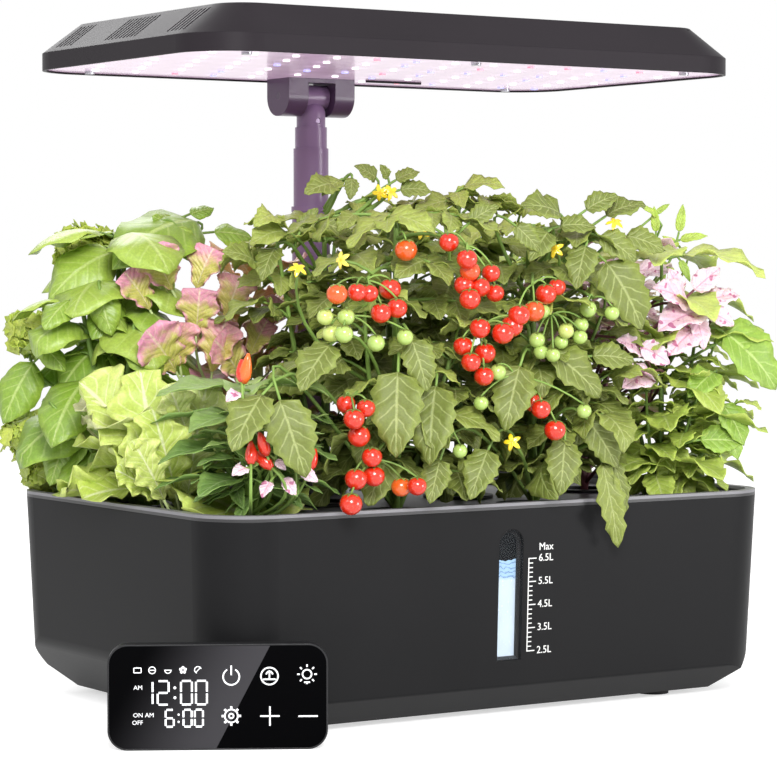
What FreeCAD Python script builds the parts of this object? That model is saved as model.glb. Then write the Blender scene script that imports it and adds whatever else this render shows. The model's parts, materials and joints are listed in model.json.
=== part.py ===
import FreeCAD, Part
import math
import os

# Countertop hydroponic garden: a water tank with a sight window, a lift-out deck with twelve
# pods, a telescopic pole with a tilting grow lamp, and a small control pad on its own stand.
# Millimetres, +Z up, +X along the tank, +Y to the back.
# The origin is the centre of the flat underside of the tank.

Vector = FreeCAD.Vector

# Tank
tank_length = 360.2
tank_width = 242.8
tank_corner_radius = 31.9
tank_top = 108.5
tank_wall = 2.6
wall_draft = 0.037
end_slope_inset = 30.0
end_slope_height = 28.0
end_slope_radius = 11.0
side_slope_inset = 17.9
side_slope_height = 14.3
side_slope_radius = 2.0
slope_skin = 0.03
least_slope_radius = 0.5
overcut = 2.0
foot_height = 3.0
foot_radius = 9.0
foot_from_end = 60.1
foot_from_side = 37.4

# Sight window, its seal and the printed scale
window_x = -3.9
window_width = 15.5
window_low = 28.0
window_below_top = 10.9
window_fit = 0.1
seal_band = 3.4
seal_thickness = 1.5
scale_gap = 3.45
scale_low = 32.2
litre_height = 12.36
scale_litres = 4
scale_parts = 5
scale_line = 0.55
scale_long_tick = 5.2
scale_short_tick = 3.0
scale_relief = 0.2

# Deck
rim_height = 3.2
rim_inset = 5.6
deck_sink = 3.5
deck_thickness = 2.4
deck_fit = 0.6
pod_columns = 4
pod_rows = 3
pod_margin_x = 0.2
pod_margin_y = 26.8

# Pod baskets and sponges
basket_radius = 16.0
basket_base_radius = 12.0
basket_depth = 54.0
basket_wall = 1.2
basket_collar_radius = 20.0
basket_collar_height = 1.6
basket_slots = 6
basket_slot_width = 4.0
basket_slot_low = 6.0
basket_slot_high = 30.0
basket_fit = 0.3
sponge_height = 34.0
sponge_fit = 0.4

# Filling port and flap
port_from_back = 18.4
port_length = 24.0
port_width = 12.0
port_corner = 2.0
flap_thickness = 1.6
flap_lap_end = 3.0
flap_lap = 2.5
flap_barrel_radius = 1.6
flap_barrel_lift = 0.25
flap_pin_radius = 0.8
flap_pin_length = 2.0
flap_pin_fit = 0.08
flap_lug_width = 3.0
flap_lug_depth = 3.6
flap_lug_gap = 0.4

# Telescopic pole: each tube slides in the one below it
pole_x = -4.8
pole_from_back = 42.4
neck_radius = 8.4
tube_wall = 0.82
tube_fit = 0.08
outer_tube_length = 166.5
lower_tube_shown = 33.7
middle_tube_shown = 12.3
lower_tube_length = 158.0
middle_tube_length = 145.0
neck_tube_length = 130.0
neck_shown = 7.4
neck_wall = 1.0
tube_collar_height = 3.0
tube_collar_step = 0.4

# Pole base
base_width = 34.0
base_before_pole = 15.0
base_behind_pole = 27.0
base_height = 24.0
base_wall = 2.0
base_corner = 5.0
base_fit = 0.05
board_thickness = 1.6
board_headroom = 1.0
jack_width = 9.0
jack_height = 10.0
jack_bore_radius = 2.8
jack_bore_depth = 7.5
jack_pin_radius = 1.0
jack_depth = 9.0
jack_above_deck = 12.5

# Screws
screw_radius = 1.4
screw_head_radius = 2.8
screw_head_height = 1.6
screw_length = 8.0
screw_fit = 0.1
boss_radius = 3.2

# Hinge between the neck and the lamp
seam_to_hinge = 10.1
hinge_radius = 7.0
hinge_pin_radius = 2.0
hinge_pin_fit = 0.06
hinge_gap = 0.3
bracket_width = 44.6
bracket_depth = 24.6
bracket_drop = 11.4
bracket_corner = 11.4
bracket_cheek_gap = 18.2
bracket_roof_gap = 0.6
hinge_to_lamp = 9.2

# Spring button in the neck
button_radius = 1.5
button_fit = 0.08
button_recess = 0.5
button_flange_radius = 2.6
button_flange = 0.8
button_seat_gap = 0.25
button_below_seam = 3.9
button_room = 1.7
spring_width = 4.0
spring_strip = 0.5
spring_drop = 21.0

# Lamp
lamp_length = 349.8
lamp_width = 208.4
lamp_right_of_pole = 1.2
lamp_before_pole = 79.8
lamp_corner_radius = 32.9
lamp_rim_height = 9.4
lamp_height = 25.8
lamp_slope_side = 14.8
lamp_slope_end = 22.0
lamp_plateau_radius = 18.0
lamp_wall = 2.0
lamp_ledge = 2.0
led_board_recess = 1.0
led_board_fit = 0.1
vent_pitch = 4.1
vent_width = 1.7
vent_margin = 2.4
vent_reach = 6.0
vent_middles = (60.0, -4.5, -65.0)
vent_counts = (5, 9, 5)
chip_side = 2.8
chip_height = 0.7
chip_columns = 13
chip_rows = 6
chip_margin_x = 24.9
chip_margin_y = 26.7
chip_clearance = 4.0
lead_cover_length = 38.5
lead_cover_width = 2.4
lead_cover_height = 1.2
lead_cover_corner = 1.1
lead_cover_right_of_pole = 49.0
lead_cover_before_pole = 13.0

# Pump on the tank floor
pump_before_pole = 13.0
pump_length = 44.0
pump_width = 34.0
pump_height = 26.0
pump_foot = 3.0
pump_corner = 5.0
chamber_radius = 10.0
chamber_depth = 12.0
rotor_radius = 3.4
rotor_length = 16.0
rotor_fit = 0.08
rotor_end_gap = 0.25
vane_count = 6
vane_gap = 0.8
vane_thickness = 1.2
vane_height = 8.0
vane_length = 7.0
pump_cover_thickness = 2.0
pump_cover_margin = 1.0
intake_slots = 4
intake_slot_width = 1.8
intake_slot_margin = 2.0
nozzle_radius = 4.0
nozzle_bore = 2.6
nozzle_height = 9.0

# Control pad, standing on the table in front of the tank
pad_left_of_tank = 3.1
pad_before_tank = 0.3
pad_turn = -30.0
pad_width = 109.0
pad_height = 52.6
pad_depth = 9.0
pad_corner = 10.0
pad_wall = 1.5
pad_edge = 0.8
pad_ledge = 2.5
pad_glass_thickness = 1.2
pad_fit = 0.1
display_width = 42.0
display_height = 33.0
display_depth = 1.6
display_left = 23.0
display_lift = 3.0
pad_board_thickness = 1.2
pad_board_margin = 5.0
battery_width = 46.0
battery_height = 20.0
battery_depth = 2.6
battery_right = 22.0
battery_lift = 21.0
battery_door_margin = 2.0
stand_length = 20.0
stand_width = 6.0
stand_height = 4.5
stand_gap = 0.3
stand_pin_radius = 1.0
stand_pin_fit = 0.05
stand_pin_grip = 5.0

# Plants
stem_radius = 3.0
stem_sides = 12
stem_past_leaves = 2.0
leaf_end_share = 0.6
leaf_sector_share = 0.85
leaf_gap = 0.25
leaf_thickness = 1.5
leaf_root_half_width = 0.8
cell_gap = 1.2
fruit_radius = 5.4
fruit_sides = 8
truss_half_width = 0.5
spread_level = 85.0
leaf_past_end = 15.0
leaf_past_front = 14.6
leaf_past_back = 4.6
leaf_from_base = 1.5
spread_over_neighbour = 31.0

# Heights and places that follow from the sizes above
table_z = -foot_height
wall_top = tank_top + rim_height
deck_top = tank_top - deck_sink
window_high = tank_top - window_below_top
scale_x = window_x + window_width / 2 + scale_gap
scale_high = scale_low + scale_litres * litre_height
sponge_top = deck_top - sponge_fit
pod_pitch_x = (tank_length - pod_margin_x) / pod_columns
pod_pitch_y = (tank_width - pod_margin_y) / pod_rows
port_x = pod_pitch_x
port_y = tank_width / 2 - port_from_back
flap_length = port_length + 2 * flap_lap_end
pole_y = tank_width / 2 - pole_from_back
base_front = pole_y - base_before_pole
base_back = pole_y + base_behind_pole
jack_z = deck_top + jack_above_deck
middle_tube_radius = neck_radius + tube_fit + tube_wall
lower_tube_radius = middle_tube_radius + tube_fit + tube_wall
outer_tube_radius = lower_tube_radius + tube_fit + tube_wall
outer_tube_top = deck_top + outer_tube_length
lower_tube_top = outer_tube_top + lower_tube_shown
middle_tube_top = lower_tube_top + middle_tube_shown
neck_seam = middle_tube_top + neck_shown
button_z = neck_seam - button_below_seam
hinge_z = neck_seam + seam_to_hinge
bracket_bottom = hinge_z - bracket_drop
lamp_bottom = hinge_z + hinge_to_lamp
lamp_x = pole_x + lamp_right_of_pole
lamp_y = pole_y - lamp_before_pole
led_board_bottom = lamp_bottom + led_board_recess
led_board_top = led_board_bottom + board_thickness
chip_pitch_x = (lamp_length - chip_margin_x) / chip_columns
chip_pitch_y = (lamp_width - chip_margin_y) / chip_rows
lead_cover_x = pole_x + lead_cover_right_of_pole
lead_cover_y = pole_y - lead_cover_before_pole
pump_x = pole_x
pump_y = pole_y - pump_before_pole
pad_x = -tank_length / 2 - pad_left_of_tank
pad_y = -tank_width / 2 - pad_before_tank


def box(low, high):
    """A block between two opposite corners."""
    size = [b - a for a, b in zip(low, high)]
    return Part.makeBox(size[0], size[1], size[2], Vector(*low))


def rod(start, direction, radius, length):
    return Part.makeCylinder(radius, length, Vector(*start), Vector(*direction))


def tube(radius, bore, low, high):
    """An upright tube on the pole's axis."""
    start = (pole_x, pole_y, low)
    hole = rod(start, (0, 0, 1), bore, high - low)
    return rod(start, (0, 0, 1), radius, high - low).cut(hole)


def toward(start, end, distance):
    """The point at a distance from start on the way to end."""
    run = (end - start).normalize()
    return start + run * distance


def outline(corners, to_space):
    """A closed wire through corners (u, v, radius), each rounded by its radius."""
    flat = [Vector(u, v, 0) for u, v, _ in corners]
    edges = []
    starts = []
    ends = []
    middles = []
    count = len(corners)
    for i, (u, v, radius) in enumerate(corners):
        here = flat[i]
        before = flat[i - 1]
        after = flat[(i + 1) % count]
        turn = math.pi - (before - here).getAngle(after - here)
        tangent = radius * math.tan(turn / 2)
        starts.append(toward(here, before, tangent) if radius else here)
        ends.append(toward(here, after, tangent) if radius else here)
        bisector = (before - here).normalize() + (after - here).normalize()
        reach = radius / math.cos(turn / 2) - radius
        middles.append(here + bisector.normalize() * reach)
    for i in range(count):
        if corners[i][2]:
            arc = [to_space(p.x, p.y) for p in (starts[i], middles[i], ends[i])]
            edges.append(Part.Arc(*arc).toShape())
        following = starts[(i + 1) % count]
        if (following - ends[i]).Length > 1e-6:
            line = Part.LineSegment(to_space(ends[i].x, ends[i].y), to_space(following.x, following.y))
            edges.append(line.toShape())
    return Part.Wire(edges)


def rounded_rectangle(half_x, half_y, radius, z, centre=(0, 0)):
    corners = [
        (centre[0] + half_x, centre[1] - half_y, radius),
        (centre[0] + half_x, centre[1] + half_y, radius),
        (centre[0] - half_x, centre[1] + half_y, radius),
        (centre[0] - half_x, centre[1] - half_y, radius),
    ]
    return outline(corners, lambda u, v: Vector(u, v, z))


def slab(half_x, half_y, radius, low, high, centre=(0, 0)):
    """A flat plate with rounded corners."""
    wire = rounded_rectangle(half_x, half_y, radius, low, centre)
    return Part.Face(wire).extrude(Vector(0, 0, high - low))


def faceted(points, faces):
    """A closed solid from its points and its flat faces."""
    shell = []
    for face in faces:
        ring = [Vector(*points[i]) for i in face]
        ring.append(ring[0])
        shell.append(Part.Face(Part.makePolygon(ring)))
    solid = Part.Solid(Part.Shell(shell))
    if solid.Volume < 0:
        solid.reverse()
    return solid


def faceted_turning(centre, rings, sides=8):
    """A solid with an upright axis and flat sides, through rings of (height, radius)."""
    points = []
    for height, radius in rings:
        for k in range(sides):
            angle = 2 * math.pi * k / sides
            x = centre[0] + radius * math.cos(angle)
            y = centre[1] + radius * math.sin(angle)
            points.append((x, y, height))
    faces = [tuple(range(sides))]
    for j in range(len(rings) - 1):
        for k in range(sides):
            after = (k + 1) % sides
            faces.append((j * sides + k, j * sides + after, (j + 1) * sides + after, (j + 1) * sides + k))
    faces.append(tuple((len(rings) - 1) * sides + k for k in range(sides)))
    return faceted(points, faces)


def save(name, shapes):
    """Write one node, from one solid or from a list of separate solids."""
    shape = shapes if isinstance(shapes, Part.Shape) else Part.makeCompound(shapes)
    shape.exportStep("parts/" + name + ".step")


# Tank


def wall_half(half, z, inset):
    """Half the outer size at a height: the walls lean in towards the floor."""
    return half - wall_draft * (wall_top - z) - inset


def wall_block(low, high, inset):
    """The solid inside the tank's leaning walls, set in by a distance."""
    wires = []
    for z in (low, high):
        half_x = wall_half(tank_length / 2, z, inset)
        half_y = wall_half(tank_width / 2, z, inset)
        wires.append(rounded_rectangle(half_x, half_y, tank_corner_radius - inset, z))
    return Part.makeLoft(wires, True, True)


def slope_block(half, slope_inset, slope_height, slope_radius, inset, reach, along_x):
    """A long bar whose section has the sloping lower edges of the tank."""
    crease = wall_half(half, slope_height, 0)
    steepness = math.atan2(slope_height, slope_inset)
    shift = inset / math.sin(steepness)
    low = inset
    bottom = crease - slope_inset + low / math.tan(steepness) - shift + slope_skin
    lean = 1 / math.tan(steepness) - wall_draft
    crease_z = slope_height + (shift - inset) / lean
    side = wall_half(half, crease_z, inset) + slope_skin
    top_z = wall_top + overcut
    top = wall_half(half, top_z, inset) + slope_skin
    radius = max(slope_radius - inset, least_slope_radius)
    corners = [
        (bottom, low, 0),
        (side, crease_z, radius),
        (top, top_z, 0),
        (-top, top_z, 0),
        (-side, crease_z, radius),
        (-bottom, low, 0),
    ]
    if along_x:
        wire = outline(corners, lambda u, v: Vector(-reach, u, v))
        return Part.Face(wire).extrude(Vector(2 * reach, 0, 0))
    wire = outline(corners, lambda u, v: Vector(u, -reach, v))
    return Part.Face(wire).extrude(Vector(0, 2 * reach, 0))


def tank_block(inset, high):
    """The tank's form filled solid, set in by a distance on every side."""
    ends = slope_block(
        tank_length / 2, end_slope_inset, end_slope_height, end_slope_radius, inset, tank_width, False
    )
    sides = slope_block(
        tank_width / 2, side_slope_inset, side_slope_height, side_slope_radius, inset, tank_length, True
    )
    return wall_block(inset, high, inset).common(ends).common(sides)


def window_bar(grow, y_low, y_high):
    """A bar through the front wall with the arched outline of the window."""
    half = window_width / 2 + grow
    low = window_low - grow
    spring = window_high - window_width / 2
    left = Vector(window_x - half, y_low, low)
    right = Vector(window_x + half, y_low, low)
    left_spring = Vector(window_x - half, y_low, spring)
    right_spring = Vector(window_x + half, y_low, spring)
    crown = Vector(window_x, y_low, window_high + grow)
    edges = [
        Part.LineSegment(left, right).toShape(),
        Part.LineSegment(right, right_spring).toShape(),
        Part.Arc(right_spring, crown, left_spring).toShape(),
        Part.LineSegment(left_spring, left).toShape(),
    ]
    return Part.Face(Part.Wire(edges)).extrude(Vector(0, y_high - y_low, 0))


def make_tank():
    front = -tank_width / 2 - overcut
    hole = window_bar(0, front, 0)
    outer = tank_block(0, tank_top)
    inner = tank_block(tank_wall, tank_top + overcut / 2)
    save("outer_tank", outer.cut(inner).cut(hole))
    pane = window_bar(-window_fit, front, 0).common(outer).cut(inner)
    save("window_pane", pane)
    deeper = wall_block(tank_wall, tank_top, tank_wall + seal_thickness)
    ring = window_bar(seal_band, front, 0).cut(window_bar(-window_fit - seal_band / 2, front, 0))
    skin = wall_block(tank_wall, tank_top, tank_wall).cut(deeper)
    save("window_seal", ring.common(skin))


def make_scale():
    """The litre scale beside the window: one upright line with long and short ticks."""
    def bar(x0, x1, z):
        return box((x0, -tank_width, z - scale_line / 2), (x1, 0, z + scale_line / 2))
    spine = box((scale_x, -tank_width, scale_low), (scale_x + scale_line, 0, scale_high))
    comb = [spine]
    ticks = scale_litres * scale_parts
    for i in range(ticks + 1):
        z = scale_low + (scale_high - scale_low) * i / ticks
        length = scale_long_tick if i % scale_parts == 0 else scale_short_tick
        comb.append(bar(scale_x, scale_x + length, z))
    print_area = comb[0].fuse(comb[1:]).removeSplitter()
    front = wall_block(side_slope_height, tank_top, -scale_relief).cut(
        wall_block(side_slope_height - overcut, tank_top + overcut, 0)
    )
    save("gauge_scale", print_area.common(front))


def make_feet():
    feet = []
    for side_x in (-1, 1):
        for side_y in (-1, 1):
            x = side_x * (tank_length / 2 - foot_from_end)
            y = side_y * (tank_width / 2 - foot_from_side)
            centre = (x, y, table_z)
            feet.append(rod(centre, (0, 0, 1), foot_radius, foot_height))
    save("rubber_feet", feet)


# Deck


def pod_places():
    places = []
    for row in range(pod_rows):
        for column in range(pod_columns):
            x = (column - (pod_columns - 1) / 2) * pod_pitch_x
            y = (row - (pod_rows - 1) / 2) * pod_pitch_y
            places.append((x, y))
    return places


def base_screw_places():
    inset = base_wall + boss_radius - 1
    xs = (pole_x - base_width / 2 + inset, pole_x + base_width / 2 - inset)
    ys = (base_front + inset, base_back - inset)
    return [(x, y) for x in xs for y in ys]


def screw(x, y, z, up, length=screw_length):
    """A pan-head screw whose head bears on height z and whose shank goes up or down."""
    way = 1 if up else -1
    head = rod((x, y, z), (0, 0, -way), screw_head_radius, screw_head_height)
    return head.fuse(rod((x, y, z), (0, 0, way), screw_radius, length)).removeSplitter()


def flap_hinge_place():
    """The flap's axis: y and z."""
    y = port_y + port_width / 2 + flap_lap + flap_barrel_radius
    return y, deck_top + flap_barrel_radius + flap_barrel_lift


def make_deck():
    rim = wall_block(tank_top, wall_top, 0)
    tray = wall_block(deck_top - deck_thickness, tank_top, tank_wall + deck_fit)
    pocket = wall_block(deck_top, wall_top + 1, rim_inset)
    deck = rim.fuse(tray).cut(pocket)
    for x, y in pod_places():
        hole_radius = basket_radius + basket_fit
        deck = deck.cut(rod((x, y, 0), (0, 0, 1), hole_radius, wall_top))
    port = slab(port_length / 2, port_width / 2, port_corner, 0, wall_top, (port_x, port_y))
    deck = deck.cut(port)
    for x, y in base_screw_places():
        deck = deck.cut(rod((x, y, 0), (0, 0, 1), screw_radius + screw_fit, wall_top))
    hinge_y, hinge_height = flap_hinge_place()
    for side in (-1, 1):
        inner = flap_length / 2 + flap_lug_gap
        low = port_x + (inner if side > 0 else -inner - flap_lug_width)
        top = hinge_height + flap_barrel_radius
        half = flap_lug_depth / 2
        lug = box((low, hinge_y - half, deck_top), (low + flap_lug_width, hinge_y + half, top))
        hole = rod((low, hinge_y, hinge_height), (1, 0, 0), flap_pin_radius + flap_pin_fit, flap_lug_width)
        deck = deck.fuse(lug).cut(hole)
    save("grow_deck", deck.removeSplitter())


def make_flap():
    """The filling flap, with its barrel and two short pins moulded on."""
    hinge_y, hinge_height = flap_hinge_place()
    half = flap_length / 2
    front = port_y - port_width / 2 - flap_lap
    plate = box((port_x - half, front, deck_top), (port_x + half, hinge_y, deck_top + flap_thickness))
    barrel = rod((port_x - half, hinge_y, hinge_height), (1, 0, 0), flap_barrel_radius, flap_length)
    reach = half + flap_lug_gap + flap_pin_length
    pin = rod((port_x - reach, hinge_y, hinge_height), (1, 0, 0), flap_pin_radius, 2 * reach)
    save("fill_flap", plate.fuse([barrel, pin]).removeSplitter())


def make_basket(x, y):
    """A net cup: a collar, a tapering wall with slots and a floor with a hole."""
    low = deck_top - basket_depth
    axis = Vector(0, 0, 1)
    cup = Part.makeCone(basket_base_radius, basket_radius, basket_depth, Vector(x, y, low), axis)
    collar = rod((x, y, deck_top), (0, 0, 1), basket_collar_radius, basket_collar_height)
    hollow = Part.makeCone(
        basket_base_radius - basket_wall,
        basket_radius - basket_wall,
        basket_depth + basket_collar_height,
        Vector(x, y, low + basket_wall),
        axis,
    )
    basket = cup.fuse(collar).cut(hollow)
    for k in range(basket_slots // 2):
        bar = box(
            (-basket_radius, -basket_slot_width / 2, low + basket_slot_low),
            (basket_radius, basket_slot_width / 2, low + basket_slot_high),
        )
        bar.rotate(Vector(0, 0, 0), axis, 360 * k / basket_slots)
        bar.translate(Vector(x, y, 0))
        basket = basket.cut(bar)
    drain = rod((x, y, low), (0, 0, 1), basket_base_radius / 2, basket_wall)
    return basket.cut(drain).removeSplitter()


def make_pods():
    sponges = []
    low = sponge_top - sponge_height
    for number, (x, y) in enumerate(pod_places(), start=1):
        save("pod_basket_" + str(number), make_basket(x, y))
        inner = basket_radius - basket_wall - sponge_fit
        slope = (basket_radius - basket_base_radius) / basket_depth
        top = inner - slope * (deck_top - sponge_top)
        bottom = inner - slope * (deck_top - low)
        sponges.append(Part.makeCone(bottom, top, sponge_height, Vector(x, y, low), Vector(0, 0, 1)))
    save("grow_sponges", sponges)


# Pole


def make_pole_base():
    middle_y = (base_front + base_back) / 2
    half_y = (base_back - base_front) / 2
    top = deck_top + base_height
    centre = (pole_x, middle_y)
    shell = slab(base_width / 2, half_y, base_corner, deck_top, top, centre)
    room = slab(
        base_width / 2 - base_wall, half_y - base_wall, base_corner - base_wall,
        deck_top, top - base_wall, centre,
    )
    shell = shell.cut(room)
    for x, y in base_screw_places():
        boss = rod((x, y, deck_top), (0, 0, 1), boss_radius, base_height - base_wall)
        shell = shell.fuse(boss.common(slab(base_width / 2, half_y, base_corner, deck_top, top, centre)))
    for x, y in base_screw_places():
        shell = shell.cut(rod((x, y, deck_top), (0, 0, 1), screw_radius + screw_fit, screw_length))
    shell = shell.cut(rod((pole_x, pole_y, deck_top), (0, 0, 1), outer_tube_radius + base_fit, base_height))
    window = box(
        (pole_x - jack_width / 2 - base_fit, base_back - base_wall, jack_z - jack_height / 2 - base_fit),
        (pole_x + jack_width / 2 + base_fit, base_back, jack_z + jack_height / 2 + base_fit),
    )
    save("pole_base", shell.cut(window).removeSplitter())
    board_y = base_back - jack_depth - board_thickness
    board_half = base_width / 2 - base_wall - base_fit
    board_top = top - base_wall - board_headroom
    board = box(
        (pole_x - board_half, board_y, deck_top + base_fit),
        (pole_x + board_half, board_y + board_thickness, board_top),
    )
    save("control_board", board)
    body = box(
        (pole_x - jack_width / 2, board_y + board_thickness, jack_z - jack_height / 2),
        (pole_x + jack_width / 2, base_back, jack_z + jack_height / 2),
    )
    mouth = (pole_x, base_back, jack_z)
    body = body.cut(rod(mouth, (0, -1, 0), jack_bore_radius, jack_bore_depth))
    save("dc_jack", body.fuse(rod(mouth, (0, -1, 0), jack_pin_radius, jack_depth)).removeSplitter())
    low = deck_top - deck_thickness
    save("base_screws", [screw(x, y, low, True) for x, y in base_screw_places()])


def make_tubes():
    inner = {
        "middle": neck_radius + tube_fit,
        "lower": middle_tube_radius + tube_fit,
        "outer": lower_tube_radius + tube_fit,
    }
    outer = tube(outer_tube_radius, inner["outer"], deck_top, outer_tube_top)
    collar_low = outer_tube_top - tube_collar_height
    collar = tube(outer_tube_radius + tube_collar_step, inner["outer"], collar_low, outer_tube_top)
    save("pole_outer_tube", outer.fuse(collar).removeSplitter())
    low = lower_tube_top - lower_tube_length
    save("pole_lower_tube", tube(lower_tube_radius, inner["lower"], low, lower_tube_top))
    low = middle_tube_top - middle_tube_length
    save("pole_middle_tube", tube(middle_tube_radius, inner["middle"], low, middle_tube_top))


def make_neck():
    """The neck tube, its domed shoulder and the barrel that turns between the cheeks."""
    low = middle_tube_top - neck_tube_length
    neck = rod((pole_x, pole_y, low), (0, 0, 1), neck_radius, neck_seam - low)
    dome = Part.makeSphere(neck_radius, Vector(pole_x, pole_y, neck_seam))
    width = bracket_cheek_gap - 2 * hinge_gap
    barrel = rod((pole_x - width / 2, pole_y, hinge_z), (1, 0, 0), hinge_radius, width)
    neck = neck.fuse([dome, barrel])
    bore_top = neck_seam - neck_wall
    neck = neck.cut(rod((pole_x, pole_y, low), (0, 0, 1), neck_radius - neck_wall, bore_top - low))
    pin_hole = rod((pole_x - width, pole_y, hinge_z), (1, 0, 0), hinge_pin_radius + hinge_pin_fit, 2 * width)
    button_hole = rod((pole_x, pole_y, button_z), (0, -1, 0), button_radius + button_fit, neck_radius + 1)
    save("pole_neck", neck.cut(pin_hole).cut(button_hole).removeSplitter())


def make_button():
    """The snap button in the neck and the folded strip that pushes it out."""
    bore = neck_radius - neck_wall
    front = pole_y - neck_radius + button_recess
    seat = pole_y - math.sqrt(bore ** 2 - button_flange_radius ** 2) + button_seat_gap
    stud = rod((pole_x, front, button_z), (0, 1, 0), button_radius, seat + button_flange - front)
    flange = rod((pole_x, seat, button_z), (0, 1, 0), button_flange_radius, button_flange)
    save("lock_button", stud.fuse(flange).removeSplitter())
    near = seat + button_flange
    far = pole_y + bore - button_room - spring_strip
    bend = (near + far) / 2
    low = button_z - spring_drop
    top = button_z + button_radius
    path = [
        (near, top), (near + spring_strip, top), (bend, low + 2 * spring_strip),
        (far, top), (far + spring_strip, top), (bend, low), (near, top - 2 * spring_strip),
    ]
    points = [Vector(pole_x - spring_width / 2, y, z) for y, z in path]
    strip = Part.Face(Part.makePolygon(points + [points[0]]))
    save("button_spring", strip.extrude(Vector(spring_width, 0, 0)))


# Lamp


def lamp_block(inset, low, high):
    """The lamp housing filled solid: an upright rim and sloping sides, set in by a distance."""
    half_x = lamp_length / 2
    half_y = lamp_width / 2
    centre = (lamp_x, lamp_y)
    shoulder = lamp_bottom + lamp_rim_height
    rim = slab(half_x - inset, half_y - inset, lamp_corner_radius - inset, low, shoulder, centre)
    part = (high - shoulder) / (lamp_height - lamp_rim_height)
    edge = rounded_rectangle(half_x - inset, half_y - inset, lamp_corner_radius - inset, shoulder, centre)
    top_radius = lamp_corner_radius + (lamp_plateau_radius - lamp_corner_radius) * part - inset
    top = rounded_rectangle(
        half_x - lamp_slope_end * part - inset, half_y - lamp_slope_side * part - inset,
        top_radius, high, centre,
    )
    return rim.fuse(Part.makeLoft([edge, top], True, True)).removeSplitter()


def lamp_screw_places():
    """Screws that hold the light board, along both long sides but clear of the hinge bracket."""
    reach_x = lamp_length / 2 - lamp_corner_radius
    reach_y = lamp_width / 2 - lamp_slope_side - boss_radius
    places = []
    for side in (-1, 0, 1):
        for way in (-1, 1):
            x = lamp_x + side * reach_x
            y = lamp_y + way * reach_y
            beside = abs(x - pole_x) > bracket_width / 2 + screw_head_radius
            before = abs(y - pole_y) > bracket_depth / 2 + screw_head_radius
            if beside or before:
                places.append((x, y))
    return places


def bracket_screw_places():
    reach_x = (bracket_width + bracket_cheek_gap) / 4
    reach_y = bracket_depth / 4
    return [(pole_x + i * reach_x, pole_y + j * reach_y) for i in (-1, 1) for j in (-1, 1)]


def vent_cutters():
    """Bars that cut the vent slots in both end slopes."""
    low = lamp_bottom + lamp_rim_height + vent_margin
    high = lamp_bottom + lamp_height - vent_margin
    run = lamp_slope_end / (lamp_height - lamp_rim_height)
    cutters = []
    for side in (-1, 1):
        edge = lamp_length / 2
        outer = [edge - run * (z - lamp_bottom - lamp_rim_height) for z in (low, high)]
        corners = [
            (outer[0] + vent_reach, low), (outer[1] + vent_reach, high),
            (outer[1] - vent_reach, high), (outer[0] - vent_reach, low),
        ]
        for middle, count in zip(vent_middles, vent_counts):
            for k in range(count):
                y = lamp_y + middle + (k - (count - 1) / 2) * vent_pitch - vent_width / 2
                ring = [Vector(lamp_x + side * x, y, z) for x, z in corners]
                face = Part.Face(Part.makePolygon(ring + [ring[0]]))
                cutters.append(face.extrude(Vector(0, vent_width, 0)))
    return cutters


def make_lamp_housing():
    top = lamp_bottom + lamp_height
    shell = lamp_block(0, lamp_bottom, top)
    shell = shell.cut(lamp_block(lamp_wall + lamp_ledge, led_board_top - 1, top - lamp_wall))
    seat = slab(
        lamp_length / 2 - lamp_wall, lamp_width / 2 - lamp_wall, lamp_corner_radius - lamp_wall,
        lamp_bottom - 1, led_board_top, (lamp_x, lamp_y),
    )
    shell = shell.cut(seat)
    for x, y in lamp_screw_places():
        boss = rod((x, y, led_board_top), (0, 0, 1), boss_radius, top - lamp_wall / 2 - led_board_top)
        hole = rod((x, y, led_board_top), (0, 0, 1), screw_radius + screw_fit, screw_length)
        shell = shell.fuse(boss).cut(hole)
    save("lamp_housing", shell.cut(Part.makeCompound(vent_cutters())))


def chip_places():
    """The light chips in staggered rows, clear of the bracket, the screws and the lead cover."""
    places = []
    for row in range(chip_rows):
        for column in range(chip_columns):
            shift = chip_pitch_x / 4 * (1 if row % 2 else -1)
            x = lamp_x + (column - (chip_columns - 1) / 2) * chip_pitch_x + shift
            y = lamp_y + (row - (chip_rows - 1) / 2) * chip_pitch_y
            on_bracket = (
                abs(x - pole_x) < bracket_width / 2 + chip_clearance
                and abs(y - pole_y) < bracket_depth / 2 + chip_clearance
            )
            on_cover = (
                abs(x - lead_cover_x) < lead_cover_length / 2 + chip_clearance
                and abs(y - lead_cover_y) < lead_cover_width + chip_clearance
            )
            reach = screw_head_radius + chip_clearance
            on_screw = any(math.hypot(x - a, y - b) < reach for a, b in lamp_screw_places())
            if not (on_bracket or on_cover or on_screw):
                places.append((x, y))
    return places


def make_light_board():
    half_x = lamp_length / 2 - lamp_wall - led_board_fit
    half_y = lamp_width / 2 - lamp_wall - led_board_fit
    corner = lamp_corner_radius - lamp_wall - led_board_fit
    board = slab(half_x, half_y, corner, led_board_bottom, led_board_top, (lamp_x, lamp_y))
    for x, y in lamp_screw_places() + bracket_screw_places():
        board = board.cut(rod((x, y, led_board_bottom), (0, 0, 1), screw_radius + screw_fit, board_thickness))
    save("led_board", board)
    chips = []
    half = chip_side / 2
    for x, y in chip_places():
        low = (x - half, y - half, led_board_bottom - chip_height)
        chips.append(box(low, (x + half, y + half, led_board_bottom)))
    save("led_chips", chips)
    cover = slab(
        lead_cover_length / 2, lead_cover_width / 2, lead_cover_corner,
        led_board_bottom - lead_cover_height, led_board_bottom, (lead_cover_x, lead_cover_y),
    )
    save("lead_cover", cover)
    screws = [screw(x, y, led_board_bottom, True) for x, y in lamp_screw_places()]
    screws += [screw(x, y, led_board_top, False) for x, y in bracket_screw_places()]
    save("lamp_screws", screws)


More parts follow.
